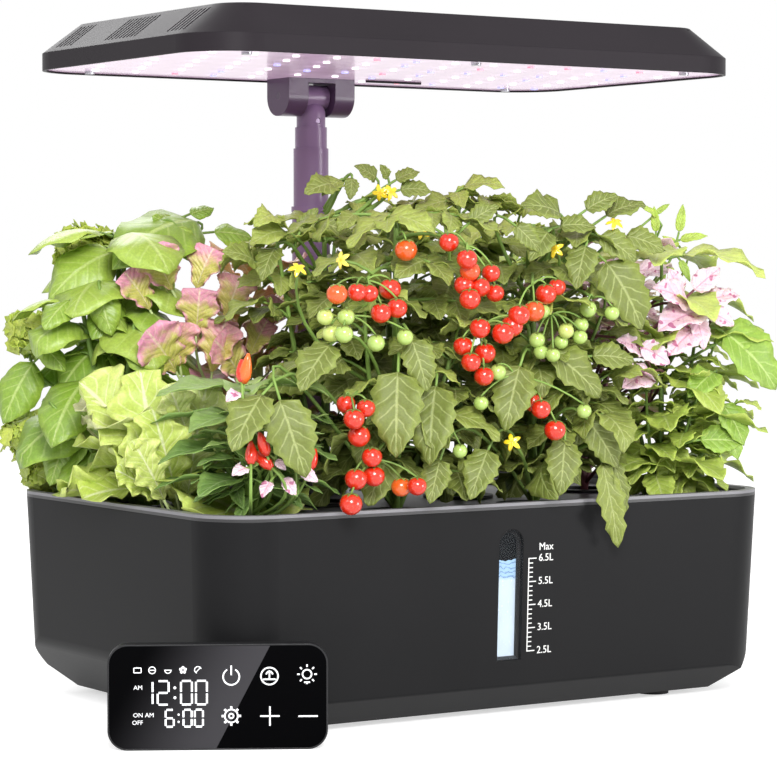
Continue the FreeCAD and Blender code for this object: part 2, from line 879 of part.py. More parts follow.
def make_bracket():
    """Two cheeks with rounded lower corners under one roof, screwed below the light board."""
    low_y = pole_y - bracket_depth / 2
    high_y = pole_y + bracket_depth / 2
    corners = [
        (low_y, led_board_bottom, 0),
        (low_y, bracket_bottom, bracket_corner),
        (high_y, bracket_bottom, bracket_corner),
        (high_y, led_board_bottom, 0),
    ]
    start = pole_x - bracket_width / 2
    wire = outline(corners, lambda u, v: Vector(start, u, v))
    block = Part.Face(wire).extrude(Vector(bracket_width, 0, 0))
    half_gap = bracket_cheek_gap / 2
    roof = hinge_z + hinge_radius + bracket_roof_gap
    gap = box((pole_x - half_gap, low_y - 1, bracket_bottom - 1), (pole_x + half_gap, high_y + 1, roof))
    block = block.cut(gap)
    pin_hole = rod((start, pole_y, hinge_z), (1, 0, 0), hinge_pin_radius, bracket_width)
    shank = screw_length - board_thickness + screw_fit
    holes = [pin_hole]
    for x, y in bracket_screw_places():
        holes.append(rod((x, y, led_board_bottom - shank), (0, 0, 1), screw_radius + screw_fit, shank + 1))
    save("hinge_bracket", block.cut(holes))
    save("hinge_pin", rod((start, pole_y, hinge_z), (1, 0, 0), hinge_pin_radius, bracket_width))


# Pump


def make_pump():
    low = tank_wall + pump_foot
    centre = (pump_x, pump_y)
    front = pump_y - pump_width / 2
    middle_z = low + pump_height / 2
    body = slab(pump_length / 2, pump_width / 2, pump_corner, low, low + pump_height, centre)
    for side_x in (-1, 1):
        for side_y in (-1, 1):
            x = pump_x + side_x * (pump_length / 2 - pump_corner)
            y = pump_y + side_y * (pump_width / 2 - pump_corner)
            body = body.fuse(rod((x, y, tank_wall), (0, 0, 1), pump_corner, pump_foot))
    body = body.fuse(rod((pump_x, pump_y, low + pump_height), (0, 0, 1), nozzle_radius, nozzle_height))
    body = body.cut(rod((pump_x, front, middle_z), (0, 1, 0), chamber_radius, chamber_depth))
    well_radius = rotor_radius + rotor_fit
    well_depth = chamber_depth + rotor_length - vane_height + rotor_end_gap
    body = body.cut(rod((pump_x, front, middle_z), (0, 1, 0), well_radius, well_depth))
    riser_y = front + chamber_depth / 2
    riser_height = pump_height / 2 - 2 * nozzle_bore
    body = body.cut(rod((pump_x, riser_y, middle_z), (0, 0, 1), nozzle_bore, riser_height))
    top = low + pump_height + nozzle_height
    elbow_low = low + pump_height - 3 * nozzle_bore
    body = body.cut(rod((pump_x, riser_y, elbow_low), (0, 1, 0), nozzle_bore, pump_y - riser_y))
    body = body.cut(rod((pump_x, pump_y, elbow_low), (0, 0, 1), nozzle_bore, top - elbow_low))
    save("pump_body", body.removeSplitter())
    cover = box(
        (pump_x - pump_length / 2 + pump_corner, front - pump_cover_thickness, low + pump_cover_margin),
        (pump_x + pump_length / 2 - pump_corner, front, low + pump_height - pump_cover_margin),
    )
    slot_reach = chamber_radius - intake_slot_margin
    for k in range(intake_slots):
        z = middle_z + (k - (intake_slots - 1) / 2) * 2 * intake_slot_width
        cover = cover.cut(box(
            (pump_x - slot_reach, front - pump_cover_thickness, z - intake_slot_width / 2),
            (pump_x + slot_reach, front, z + intake_slot_width / 2),
        ))
    save("pump_cover", cover)
    hub_front = front + chamber_depth - vane_height
    rotor = rod((pump_x, hub_front, middle_z), (0, 1, 0), rotor_radius, rotor_length)
    vane_reach = chamber_radius - vane_gap
    for k in range(vane_count):
        half = vane_thickness / 2
        vane = box((0, hub_front, -half), (vane_reach, hub_front + vane_length, half))
        vane.rotate(Vector(0, 0, 0), Vector(0, 1, 0), 360 * k / vane_count)
        vane.translate(Vector(pump_x, 0, middle_z))
        rotor = rotor.fuse(vane)
    save("pump_impeller", rotor.removeSplitter())


# Control pad


def pad_frame(shape):
    """Move a pad piece from its own frame, front face at y 0 and foot at z 0, to the table."""
    shape.rotate(Vector(0, 0, 0), Vector(0, 0, 1), pad_turn)
    shape.translate(Vector(pad_x, pad_y, table_z))
    return shape


def pad_slab(inset, front, back):
    """A plate of the pad's outline, upright, between two depths."""
    half = pad_width / 2 - inset
    corner = pad_corner - inset
    corners = [
        (-half, inset, corner), (half, inset, corner),
        (half, pad_height - inset, corner), (-half, pad_height - inset, corner),
    ]
    wire = outline(corners, lambda u, v: Vector(u, front, v))
    return Part.Face(wire).extrude(Vector(0, back - front, 0))


def make_pad_shell():
    """The open back shell, with the foot's trough and pin boss below and the battery hole above."""
    inside = pad_depth - pad_wall
    shell = pad_slab(0, 0, pad_depth)
    shell = shell.cut(pad_slab(pad_edge, -1, pad_glass_thickness))
    shell = shell.cut(pad_slab(pad_ledge, 0, inside))
    pivot_y = stand_pivot_depth()
    trough_front = pivot_y - stand_width / 2 - stand_gap
    half = stand_width / 2 + stand_gap
    trough_top = stand_height + stand_gap
    boss_top = trough_top + stand_pin_grip + pad_wall
    side = half + pad_wall
    end = stand_length + stand_gap + pad_wall
    roof_top = trough_top + pad_wall
    block = box((-side, pad_glass_thickness, pad_wall), (side, inside + pad_fit, boss_top))
    roof = box((-side, pad_glass_thickness, pad_wall), (end, inside + pad_fit, roof_top))
    trough = box((-half, trough_front, -1), (stand_length + stand_gap, pad_depth + 1, trough_top))
    shell = shell.fuse([block, roof]).cut(trough).cut(battery_door(0))
    save("pad_shell", pad_frame(shell.cut(stand_pin()).removeSplitter()))
    save("pad_stand_pin", pad_frame(stand_pin()))


def stand_pivot_depth():
    return pad_depth - stand_gap - stand_width / 2


def stand_pin():
    """The upright pin that the foot turns on, gripped in the boss above it."""
    low = stand_gap
    length = stand_height + stand_pin_grip
    return rod((0, stand_pivot_depth(), low), (0, 0, 1), stand_pin_radius, length)


def make_stand():
    """The swing-out foot, turned out square to the pad."""
    pivot_y = stand_pivot_depth()
    half = stand_width / 2
    bar = box((-half, pivot_y, 0), (half, pivot_y + stand_length, stand_height))
    eye = rod((0, pivot_y, 0), (0, 0, 1), half, stand_height)
    hole = rod((0, pivot_y, 0), (0, 0, 1), stand_pin_radius + stand_pin_fit, stand_height)
    save("pad_stand", pad_frame(bar.fuse(eye).cut(hole).removeSplitter()))


def battery_door(shrink):
    """The battery door's block, or the hole for it."""
    half = battery_width / 2 + battery_door_margin - shrink
    low = battery_lift - battery_door_margin + shrink
    high = battery_lift + battery_height + battery_door_margin - shrink
    return box((battery_right - half, pad_depth - pad_wall, low), (battery_right + half, pad_depth, high))


def make_pad_inside():
    """The glass, the display, the board, the battery and its door, one behind the other."""
    save("pad_glass", pad_frame(pad_slab(pad_edge + pad_fit, 0, pad_glass_thickness)))
    low = (pad_height - display_height) / 2 + display_lift
    back = pad_glass_thickness + display_depth
    display_start = -display_left - display_width / 2
    display = box(
        (display_start, pad_glass_thickness, low),
        (display_start + display_width, back, low + display_height),
    )
    save("pad_display", pad_frame(display))
    edge = pad_width / 2 - pad_board_margin
    board_back = back + pad_board_thickness
    board = box((-edge, back, low), (edge, board_back, pad_height - pad_board_margin))
    save("pad_board", pad_frame(board))
    half = battery_width / 2
    battery = box(
        (battery_right - half, board_back, battery_lift),
        (battery_right + half, board_back + battery_depth, battery_lift + battery_height),
    )
    save("pad_battery", pad_frame(battery))
    save("pad_battery_door", pad_frame(battery_door(pad_fit)))


# Plants


def room_reach(room, angle, half_width):
    """How far a leaf of this half width may reach from its stem inside its room."""
    left, right, front, back = room
    cosine = math.cos(angle)
    sine = math.sin(angle)
    limit_x = right if cosine > 0 else left
    limit_y = back if sine > 0 else front
    reach_x = (limit_x - cell_gap - half_width * abs(sine)) / max(abs(cosine), 1e-6)
    reach_y = (limit_y - cell_gap - half_width * abs(cosine)) / max(abs(sine), 1e-6)
    return min(reach_x, reach_y)


def strip(place, angle, stations, back=0.0):
    """A bent strip of flat quads from stations of (distance, height, half width).

    Its underside lies one leaf thickness lower, and back towards the stem by a distance.
    """
    cosine = math.cos(angle)
    sine = math.sin(angle)
    points = []
    for distance, height, half in stations:
        for side, below in ((-1, 0), (1, 0), (1, 1), (-1, 1)):
            away = distance - back * below
            x = place[0] + away * cosine - side * half * sine
            y = place[1] + away * sine + side * half * cosine
            points.append((x, y, height - leaf_thickness * below))
    faces = [(0, 1, 2, 3)]
    for i in range(len(stations) - 1):
        a = 4 * i
        b = a + 4
        for j in range(4):
            k = (j + 1) % 4
            faces.append((a + j, a + k, b + k, b + j))
    last = 4 * (len(stations) - 1)
    faces.append((last, last + 1, last + 2, last + 3))
    return faceted(points, faces)


def leaf_height(kind, distance):
    """Rise of a leaf over its root at a distance from the stem: up first, then over."""
    span = distance / kind["span"]
    return kind["lift"] * span - kind["droop"] * span * span


def leaf(place, angle, root_z, kind, room):
    """One leaf: a short stalk, a broad blade and a narrow tip."""
    widest = kind["half_width"]
    reach = min(room_reach(room, angle, widest * leaf_end_share), kind["span"])
    spread = math.tan(math.pi / kind["leaves"]) * leaf_sector_share
    start = stem_radius + leaf_gap
    stations = [(start, root_z + leaf_height(kind, start), leaf_root_half_width)]
    for share, width in leaf_outline:
        distance = start + (reach - start) * share
        half = min(widest * width, distance * spread)
        stations.append((distance, root_z + leaf_height(kind, distance), half))
    return strip(place, angle, stations)


def hanging_leaf(place, angle, root_z, kind):
    """A leaf that arches over the front rim and hangs down outside the tank, in three lengths."""
    start = stem_radius + leaf_gap + overhang_back
    half = kind["half_width"] * overhang_width
    narrow = half * overhang_narrow
    corner = half * abs(math.cos(angle) / math.sin(angle))
    rim = (tank_width / 2 + place[1]) / abs(math.sin(angle)) + corner + overhang_back
    clear = wall_top + leaf_thickness + overhang_clearance
    crest = (start + rim) / 2
    bow = rim + overhang_clearance * (1 + overhang_bow)
    rising = (start, root_z, leaf_root_half_width)
    arching = (crest, root_z + leaf_height(kind, crest), narrow)
    over_rim = (rim - corner, clear + overhang_clearance, half)
    past_rim = (rim + overhang_clearance, clear, half)
    hanging = (bow, clear - overhang_drop / 2, narrow)
    tip = (bow, clear - overhang_drop, leaf_root_half_width)
    lengths = ([rising, arching, over_rim], [over_rim, past_rim], [past_rim, hanging, tip])
    return [strip(place, angle, stations, overhang_back) for stations in lengths]


def fruit_truss(place, angle, root_z, kind, room):
    """A bare stalk with ripe fruit hanging below it."""
    reach = min(room_reach(room, angle, fruit_radius + 1), kind["span"])
    start = stem_radius + leaf_gap
    distances = [start] + [reach * share for share in fruit_shares] + [reach]
    stations = [(d, root_z + leaf_height(kind, d), truss_half_width) for d in distances]
    solids = [strip(place, angle, stations)]
    flat = fruit_radius * fruit_bands[-1][1]
    for share in fruit_shares:
        distance = reach * share
        lowest = min(leaf_height(kind, distance - flat), leaf_height(kind, distance + flat))
        top = root_z + lowest - leaf_thickness - leaf_gap
        x = place[0] + distance * math.cos(angle)
        y = place[1] + distance * math.sin(angle)
        rings = [(top - fruit_radius + b * fruit_radius, r * fruit_radius) for b, r in fruit_bands]
        solids.append(faceted_turning((x, y), rings, fruit_sides))
    return solids


def plant(place, kind, first_rise, last_rise, low_room, high_room, overhang):
    """A plant: an upright stem and tiers of leaves, one above the other."""
    tiers = kind["tiers"]
    stem_low = sponge_top + leaf_gap
    stem_top = deck_top + last_rise + stem_past_leaves
    solids = [faceted_turning(place, [(stem_low, stem_radius), (stem_top, stem_radius)], stem_sides)]
    turn = 2 * math.pi / kind["leaves"]
    for tier in range(tiers):
        rise = first_rise + (last_rise - first_rise) * tier / (tiers - 1)
        root_z = deck_top + rise
        room = low_room if rise < spread_level else high_room
        phase = kind["phase"] + tier * turn * 0.5
        for k in range(kind["leaves"]):
            if overhang and tier == 0 and k == kind["leaves"] - 1:
                solids += hanging_leaf(place, phase + k * turn, root_z, kind)
            else:
                solids.append(leaf(place, phase + k * turn, root_z, kind, room))
        if tier % 2 == 1:
            for k in range(kind["trusses"]):
                solids += fruit_truss(place, phase + (k + 0.5) * turn, root_z, kind, room)
    return solids


# A leaf's blade from stalk to tip: share of its reach, share of its half width.
leaf_outline = ((0.35, 0.75), (0.62, 1.0), (0.85, 0.62), (1.0, 0.12))
# A fruit from bottom to top: share of its radius up, share of its radius out.
fruit_bands = ((-1.0, 0.35), (-0.55, 0.84), (0.0, 1.0), (0.55, 0.84), (1.0, 0.35))
fruit_shares = (0.62, 0.95)
# The leaf over the front rim: its room over the rim, how far it hangs, its width as a share
# of the plant's other leaves, its width where it narrows, how far it bows out and how far its
# underside lies back.
overhang_clearance = 3.0
overhang_drop = 30.0
overhang_width = 0.75
overhang_narrow = 0.8
overhang_bow = 0.5
overhang_back = 0.9

# Kinds: how far a leaf may reach, its half width, its lift and droop over that reach,
# the leaves in a tier, the tiers, the first leaf's angle and the fruit trusses in a tier.
tomato = dict(span=62, half_width=15, lift=16, droop=22, leaves=5, tiers=7, phase=0.2, trusses=2)
front_tomato = dict(tomato, phase=0.0)
basil = dict(span=68, half_width=21, lift=24, droop=30, leaves=4, tiers=6, phase=0.6, trusses=0)
parsley = dict(span=60, half_width=12, lift=22, droop=22, leaves=6, tiers=6, phase=0.3, trusses=0)
pale_lettuce = dict(span=66, half_width=18, lift=46, droop=16, leaves=5, tiers=3, phase=0.4, trusses=0)
red_lettuce = dict(span=50, half_width=15, lift=40, droop=14, leaves=5, tiers=5, phase=0.1, trusses=0)
pepper = dict(span=52, half_width=11, lift=14, droop=14, leaves=6, tiers=4, phase=0.5, trusses=0)
mint = dict(span=62, half_width=14, lift=18, droop=22, leaves=5, tiers=6, phase=0.9, trusses=0)
coleus = dict(span=60, half_width=16, lift=18, droop=24, leaves=5, tiers=6, phase=0.3, trusses=0)

# Room beside a stem, to the left, right, front and back: half the pitch between the pods, or out
# past the tank's edge, or up to the pole's base, or over a low neighbour above spread_level.
half_x = pod_pitch_x / 2
half_y = pod_pitch_y / 2
past_end = tank_length / 2 + leaf_past_end - pod_pitch_x * (pod_columns - 1) / 2
past_front = tank_width / 2 + leaf_past_front - pod_pitch_y * (pod_rows - 1) / 2
past_back = tank_width / 2 + leaf_past_back - pod_pitch_y * (pod_rows - 1) / 2
left_of_base = half_x + pole_x - base_width / 2 - leaf_from_base
right_of_base = half_x - pole_x - base_width / 2 - leaf_from_base
over_x = half_x + spread_over_neighbour
over_y = half_y + spread_over_neighbour

front_room = (half_x, half_x, past_front, half_y)
middle_room = (half_x, half_x, half_y, half_y)
front_right_room = (half_x, past_end, past_front, half_y)
middle_right_room = (half_x, past_end, half_y, half_y)
back_left_room = (past_end, half_x, half_y, past_back)
back_right_room = (half_x, past_end, half_y, past_back)
before_base_room = (half_x, left_of_base, half_y, past_back)
behind_base_room = (right_of_base, half_x, half_y, past_back)

# Each pod's plant: its kind, the height of its first and last leaves over the deck, its room
# among the lower and the upper leaves, and whether a leaf hangs over the front rim.
garden = {
    1: (pepper, 19, 67, (past_end, half_x, past_front, half_y), None, False),
    2: (tomato, 21, 157, front_room, (over_x, half_x, past_front, half_y), False),
    3: (front_tomato, 21, 151, front_room, front_room, True),
    4: (mint, 19, 135, front_right_room, front_right_room, False),
    5: (pale_lettuce, 13, 37, (past_end, half_x, half_y, half_y), None, False),
    6: (tomato, 21, 145, middle_room, (over_x, half_x, half_y, half_y), False),
    7: (tomato, 21, 167, middle_room, middle_room, False),
    8: (coleus, 21, 145, middle_right_room, middle_right_room, False),
    9: (basil, 19, 147, back_left_room, (past_end, half_x, over_y, past_back), False),
    10: (red_lettuce, 13, 117, before_base_room, before_base_room, False),
    11: (tomato, 35, 157, behind_base_room, behind_base_room, False),
    12: (parsley, 33, 131, back_right_room, back_right_room, False),
}


def make_plants():
    for number, place in enumerate(pod_places(), start=1):
        save("plant_" + str(number), plant(place, *garden[number]))


os.makedirs("parts", exist_ok=True)
make_tank()
make_scale()
make_feet()
make_deck()
make_flap()
make_pods()
make_pole_base()
make_tubes()
make_neck()
make_button()
make_lamp_housing()
make_light_board()
make_bracket()
make_pump()
make_pad_shell()
make_pad_inside()
make_stand()
make_plants()
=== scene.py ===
"""The looks of a countertop hydroponic garden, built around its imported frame.

Lengths are in millimetres where a name says so, and in metres once a mesh is made.
"""

import json
import logging
import math
from dataclasses import dataclass, field
from enum import Enum
from functools import cache
from typing import Any, Union

import bmesh
import bpy
import numpy as np
from mathutils import Matrix, Vector


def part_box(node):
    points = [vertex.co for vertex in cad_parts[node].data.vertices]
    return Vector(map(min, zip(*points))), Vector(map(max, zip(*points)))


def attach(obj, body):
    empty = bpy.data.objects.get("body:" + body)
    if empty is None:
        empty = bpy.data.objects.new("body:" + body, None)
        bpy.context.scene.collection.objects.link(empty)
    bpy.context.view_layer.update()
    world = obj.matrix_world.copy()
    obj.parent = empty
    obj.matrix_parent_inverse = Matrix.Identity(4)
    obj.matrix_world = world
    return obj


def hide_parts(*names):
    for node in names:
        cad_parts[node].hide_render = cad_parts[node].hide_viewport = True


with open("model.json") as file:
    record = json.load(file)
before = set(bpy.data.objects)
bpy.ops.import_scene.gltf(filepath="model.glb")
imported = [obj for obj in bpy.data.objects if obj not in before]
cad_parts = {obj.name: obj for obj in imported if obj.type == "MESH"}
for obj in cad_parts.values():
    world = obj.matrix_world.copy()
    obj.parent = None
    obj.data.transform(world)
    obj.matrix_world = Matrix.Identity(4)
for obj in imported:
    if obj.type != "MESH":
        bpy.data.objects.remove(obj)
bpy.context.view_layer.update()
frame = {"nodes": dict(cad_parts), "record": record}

Array = np.ndarray
Colour = tuple[float, float, float]
Number = Union[float, "Wire"]
log = logging.getLogger("garden")

MM = 0.001
GOLDEN_ANGLE = math.pi * (3 - math.sqrt(5))


def srgb(code: str) -> Colour:
    """The shaders' linear colour for a display colour of six hexadecimal digits."""
    shares = [int(code[i:i + 2], 16) / 255 for i in (0, 2, 4)]
    return tuple(s / 12.92 if s <= 0.04045 else ((s + 0.055) / 1.055) ** 2.4 for s in shares)


class Wire:
    """A shader socket that takes part in Python expressions."""

    def __init__(self, tree: "Tree", socket: Any) -> None:
        """Keep the tree, and an output socket in it."""
        self.tree = tree
        self.socket = socket

    def _math(self, operation: str, first: Number, second: Number) -> "Wire":
        """Add one Math node on two values."""
        return self.tree.add("ShaderNodeMath", {"operation": operation}, {0: first, 1: second})

    def __add__(self, other: Number) -> "Wire":
        """Add."""
        return self._math("ADD", self, other)

    __radd__ = __add__

    def __mul__(self, other: Number) -> "Wire":
        """Multiply."""
        return self._math("MULTIPLY", self, other)

    __rmul__ = __mul__

    def __sub__(self, other: Number) -> "Wire":
        """Subtract a value."""
        return self._math("SUBTRACT", self, other)

    def __rsub__(self, other: Number) -> "Wire":
        """Subtract from a value."""
        return self._math("SUBTRACT", other, self)

    def __truediv__(self, other: Number) -> "Wire":
        """Divide by a value."""
        return self._math("DIVIDE", self, other)

    def __rtruediv__(self, other: Number) -> "Wire":
        """Divide a value by this one."""
        return self._math("DIVIDE", other, self)

    def __pow__(self, other: Number) -> "Wire":
        """Raise to a power."""
        return self._math("POWER", self, other)

    def absolute(self) -> "Wire":
        """The size of the value without its sign."""
        return self._math("ABSOLUTE", self, 0.0)

    def sine(self) -> "Wire":
        """The sine of the value."""
        return self._math("SINE", self, 0.0)

    def floor(self) -> "Wire":
        """The whole number below the value."""
        return self._math("FLOOR", self, 0.0)

    def above(self, limit: Number) -> "Wire":
        """One where the value is over a limit, and zero elsewhere."""
        return self._math("GREATER_THAN", self, limit)

    def larger(self, other: Number) -> "Wire":
        """The larger of two values."""
        return self._math("MAXIMUM", self, other)

    def step(self, low: float, high: float) -> "Wire":
        """A smooth rise from zero at low to one at high.

        Args:
            low: The value that gives zero.
            high: The value that gives one.

        Returns:
            The share of the rise.
        """
        settings = {"interpolation_type": "SMOOTHSTEP"}
        names = {0: self, 1: min(low, high), 2: max(low, high), 3: 0.0, 4: 1.0}
        if low > high:
            names[3], names[4] = 1.0, 0.0
        return self.tree.add("ShaderNodeMapRange", settings, names)

    def part(self, index: int) -> "Wire":
        """One coordinate of a vector, by its index 0, 1 or 2."""
        return self.tree.add("ShaderNodeSeparateXYZ", {}, {0: self}, index)


RAYS = ("Is Camera Ray", "Is Glossy Ray", "Is Transmission Ray")
WHITE = (1.0, 1.0, 1.0)
BLACK = (0.0, 0.0, 0.0)


class Tree:
    """The nodes of a material or of a world."""

    def __init__(self, name: str, owners: Any = None) -> None:
        """Make an empty material, or whatever else a collection holds.

        Args:
            name: Its name.
            owners: The collection that it is made in, where that isn't the materials.
        """
        self.owner = (bpy.data.materials if owners is None else owners).new(name)
        self.owner.use_nodes = True
        self.owner.node_tree.nodes.clear()

    def add(self, kind: str, settings: dict, values: dict, output: Any = 0) -> Wire:
        """Add one node.

        Args:
            kind: The node's type.
            settings: What is set on the node itself, with a ramp's stops under "stops".
            values: Numbers, colours or wires by input socket.
            output: The output socket to hand back.

        Returns:
            That output.
        """
        node = self.owner.node_tree.nodes.new(kind)
        for key, value in settings.items():
            if key == "stops":
                self._set_stops(node, value)
            else:
                setattr(node, key, value)
        for key, value in values.items():
            if isinstance(value, Wire):
                self.owner.node_tree.links.new(value.socket, node.inputs[key])
            elif isinstance(value, tuple) and node.inputs[key].type == "RGBA":
                node.inputs[key].default_value = (*value[:3], 1.0)
            else:
                node.inputs[key].default_value = value
        return Wire(self, node.outputs[output]) if len(node.outputs) else Wire(self, None)

    @staticmethod
    def _set_stops(node: Any, stops: tuple) -> None:
        """Give a ramp its stops, with a sharp step at each.

        Args:
            node: The ramp.
            stops: Pairs of place and colour.
        """
        ramp = node.color_ramp
        ramp.interpolation = "CONSTANT"
        while len(ramp.elements) < len(stops):
            ramp.elements.new(0.5)
        for element, (place, colour) in zip(ramp.elements, stops):
            element.position = place
            element.color = (*colour, 1.0)

    def place(self) -> Wire:
        """Object coordinates, in metres."""
        return self.add("ShaderNodeTexCoord", {}, {}, "Object")

    def surface(self) -> Wire:
        """The piece's own UV coordinates."""
        return self.add("ShaderNodeUVMap", {"uv_map": "UVMap"}, {})

    def tint(self) -> Wire:
        """The number that the piece's points keep as their tint."""
        return self.add("ShaderNodeAttribute", {"attribute_name": "tint"}, {}, "Fac")

    def seen(self) -> Wire:
        """One for a ray that reaches the eye, also in gloss and through glass, and zero otherwise."""
        camera, glossy, clear = (self.add("ShaderNodeLightPath", {}, {}, ray) for ray in RAYS)
        return camera.larger(glossy).larger(clear)

    def noise(self, where: Wire, scale: float, detail: float = 2.0, rough: float = 0.5) -> Wire:
        """Smooth noise about one half, with its waves in a unit and its finer layers."""
        values = {"Vector": where, "Scale": scale, "Detail": detail, "Roughness": rough}
        return self.add("ShaderNodeTexNoise", {}, values)

    def mix(self, share: Number, first: Any, second: Any) -> Wire:
        """Mix two colours or wires: a share of zero gives the first, and one the second."""
        return self.add("ShaderNodeMix", {"data_type": "RGBA"}, {0: share, 6: first, 7: second}, 2)

    def ramp(self, share: Wire, stops: tuple) -> Wire:
        """A colour ramp without blends, from stops of (place, colour)."""
        return self.add("ShaderNodeValToRGB", {"stops": stops}, {0: share})

    def bump(self, height: Wire, strength: float, distance: float) -> Wire:
        """A normal from a height between zero and one, with the height of one in metres."""
        return self.add("ShaderNodeBump", {}, {"Height": height, "Strength": strength, "Distance": distance})

    def finish(self, values: dict) -> bpy.types.Material:
        """Add the surface shader and hand back the material.

        Args:
            values: Inputs of the Principled shader.

        Returns:
            The finished material.
        """
        shader = self.add("ShaderNodeBsdfPrincipled", {}, values)
        self.add("ShaderNodeOutputMaterial", {}, {"Surface": shader})
        return self.owner


@dataclass(frozen=True)
class Moulding:
    """Moulded plastic with a fine grain, faint mottling and edges rounded in its shading."""

    name: str
    colour: Colour
    roughness: float = 0.45
    grain_mm: float = 0.35
    grain_depth: float = 0.12
    mottle: float = 0.08
    edge_mm: float = 0.6
    coat: float = 0.0
    specular: float = 0.3

    def material(self) -> bpy.types.Material:
        """Build the material.

        Returns:
            The material.
        """
        tree = Tree(self.name)
        where = tree.place()
        cloud = tree.noise(where, 9.0, 3.0)
        grain = tree.noise(where, 1 / (self.grain_mm * MM), 2.0, 0.6)
        dark = tuple(c * (1 - self.mottle) for c in self.colour)
        light = tuple(c * (1 + self.mottle) for c in self.colour)
        soft = tree.add("ShaderNodeBevel", {"samples": 4}, {"Radius": self.edge_mm * MM})
        heights = {"Height": grain, "Strength": self.grain_depth, "Distance": 0.1 * MM, "Normal": soft}
        return tree.finish({
            "Base Color": tree.mix(cloud.step(0.35, 0.65), dark, light),
            "Roughness": self.roughness + (grain - 0.5) * 0.12 + (cloud - 0.5) * 0.1,
            "Coat Weight": self.coat,
            "Coat Roughness": 0.06,
            "Specular IOR Level": self.specular,
            "Normal": tree.add("ShaderNodeBump", {}, heights),
        })


@dataclass(frozen=True)
class Metal:
    """Metal with fine lines left by drawing or turning."""

    name: str
    colour: Colour
    roughness: float = 0.3
    metallic: float = 1.0
    lines: Colour = (60.0, 60.0, 2500.0)

    def material(self) -> bpy.types.Material:
        """Build the material.

        Returns:
            The material.
        """
        tree = Tree(self.name)
        stretched = tree.add("ShaderNodeMapping", {}, {"Vector": tree.place(), "Scale": self.lines})
        scratch = tree.noise(stretched, 1.0, 3.0, 0.6)
        cloud = tree.noise(tree.place(), 30.0, 2.0)
        return tree.finish({
            "Base Color": tree.mix(cloud, tuple(c * 0.93 for c in self.colour), self.colour),
            "Metallic": self.metallic,
            "Roughness": self.roughness + (scratch - 0.5) * 0.2,
            "Normal": tree.bump(scratch, 0.15, 0.05 * MM),
        })


@dataclass(frozen=True)
class Rubber:
    """Matt rubber or open foam."""

    name: str
    colour: Colour
    pore_mm: float = 0.8
    depth: float = 0.4

    def material(self) -> bpy.types.Material:
        """Build the material.

        Returns:
            The material.
        """
        tree = Tree(self.name)
        pores = tree.noise(tree.place(), 1 / (self.pore_mm * MM), 3.0, 0.7)
        return tree.finish({
            # Painted shade: the colour darkens in the pores, where the bump is low.
            "Base Color": tree.mix(pores, tuple(c * 0.6 for c in self.colour), self.colour),
            "Roughness": 0.85,
            "Normal": tree.bump(pores, self.depth, 0.4 * MM),
        })


@dataclass(frozen=True)
class ClearPane:
    """Clear plastic with faint smears."""

    name: str
    alpha: float = 0.16

    def material(self) -> bpy.types.Material:
        """Build the material.

        Returns:
            The material.
        """
        tree = Tree(self.name)
        smear = tree.noise(tree.place(), 120.0, 3.0)
        return tree.finish({
            "Base Color": tree.mix(smear, (0.03, 0.035, 0.04), (0.08, 0.09, 0.1)),
            "Roughness": 0.03 + smear * 0.05,
            "Specular IOR Level": 0.2,
            "Alpha": self.alpha + (smear - 0.5) * 0.06,
        })


@dataclass(frozen=True)
class Skin:
    """The glossy skin of a fruit, from its shoulder to its tip."""

    name: str
    shoulder: Colour
    side: Colour
    variety: Colour

    def material(self) -> bpy.types.Material:
        """Build the material.

        Returns:
            The material.
        """
        tree = Tree(self.name)
        along = tree.surface().part(0)
        ripe = tree.mix(tree.tint().step(0.55, 1.0), self.side, self.variety)
        speck = tree.noise(tree.place(), 900.0, 2.0)
        colour = tree.mix(along.step(0.3, 0.0), ripe, self.shoulder)
        return tree.finish({
            "Base Color": tree.mix(speck.step(0.55, 0.8) * 0.12, colour, (1.0, 0.75, 0.35)),
            "Roughness": 0.2 + speck * 0.08,
            "Coat Weight": 0.5,
            "Coat Roughness": 0.08,
            "Normal": tree.bump(speck, 0.05, 0.1 * MM),
        })


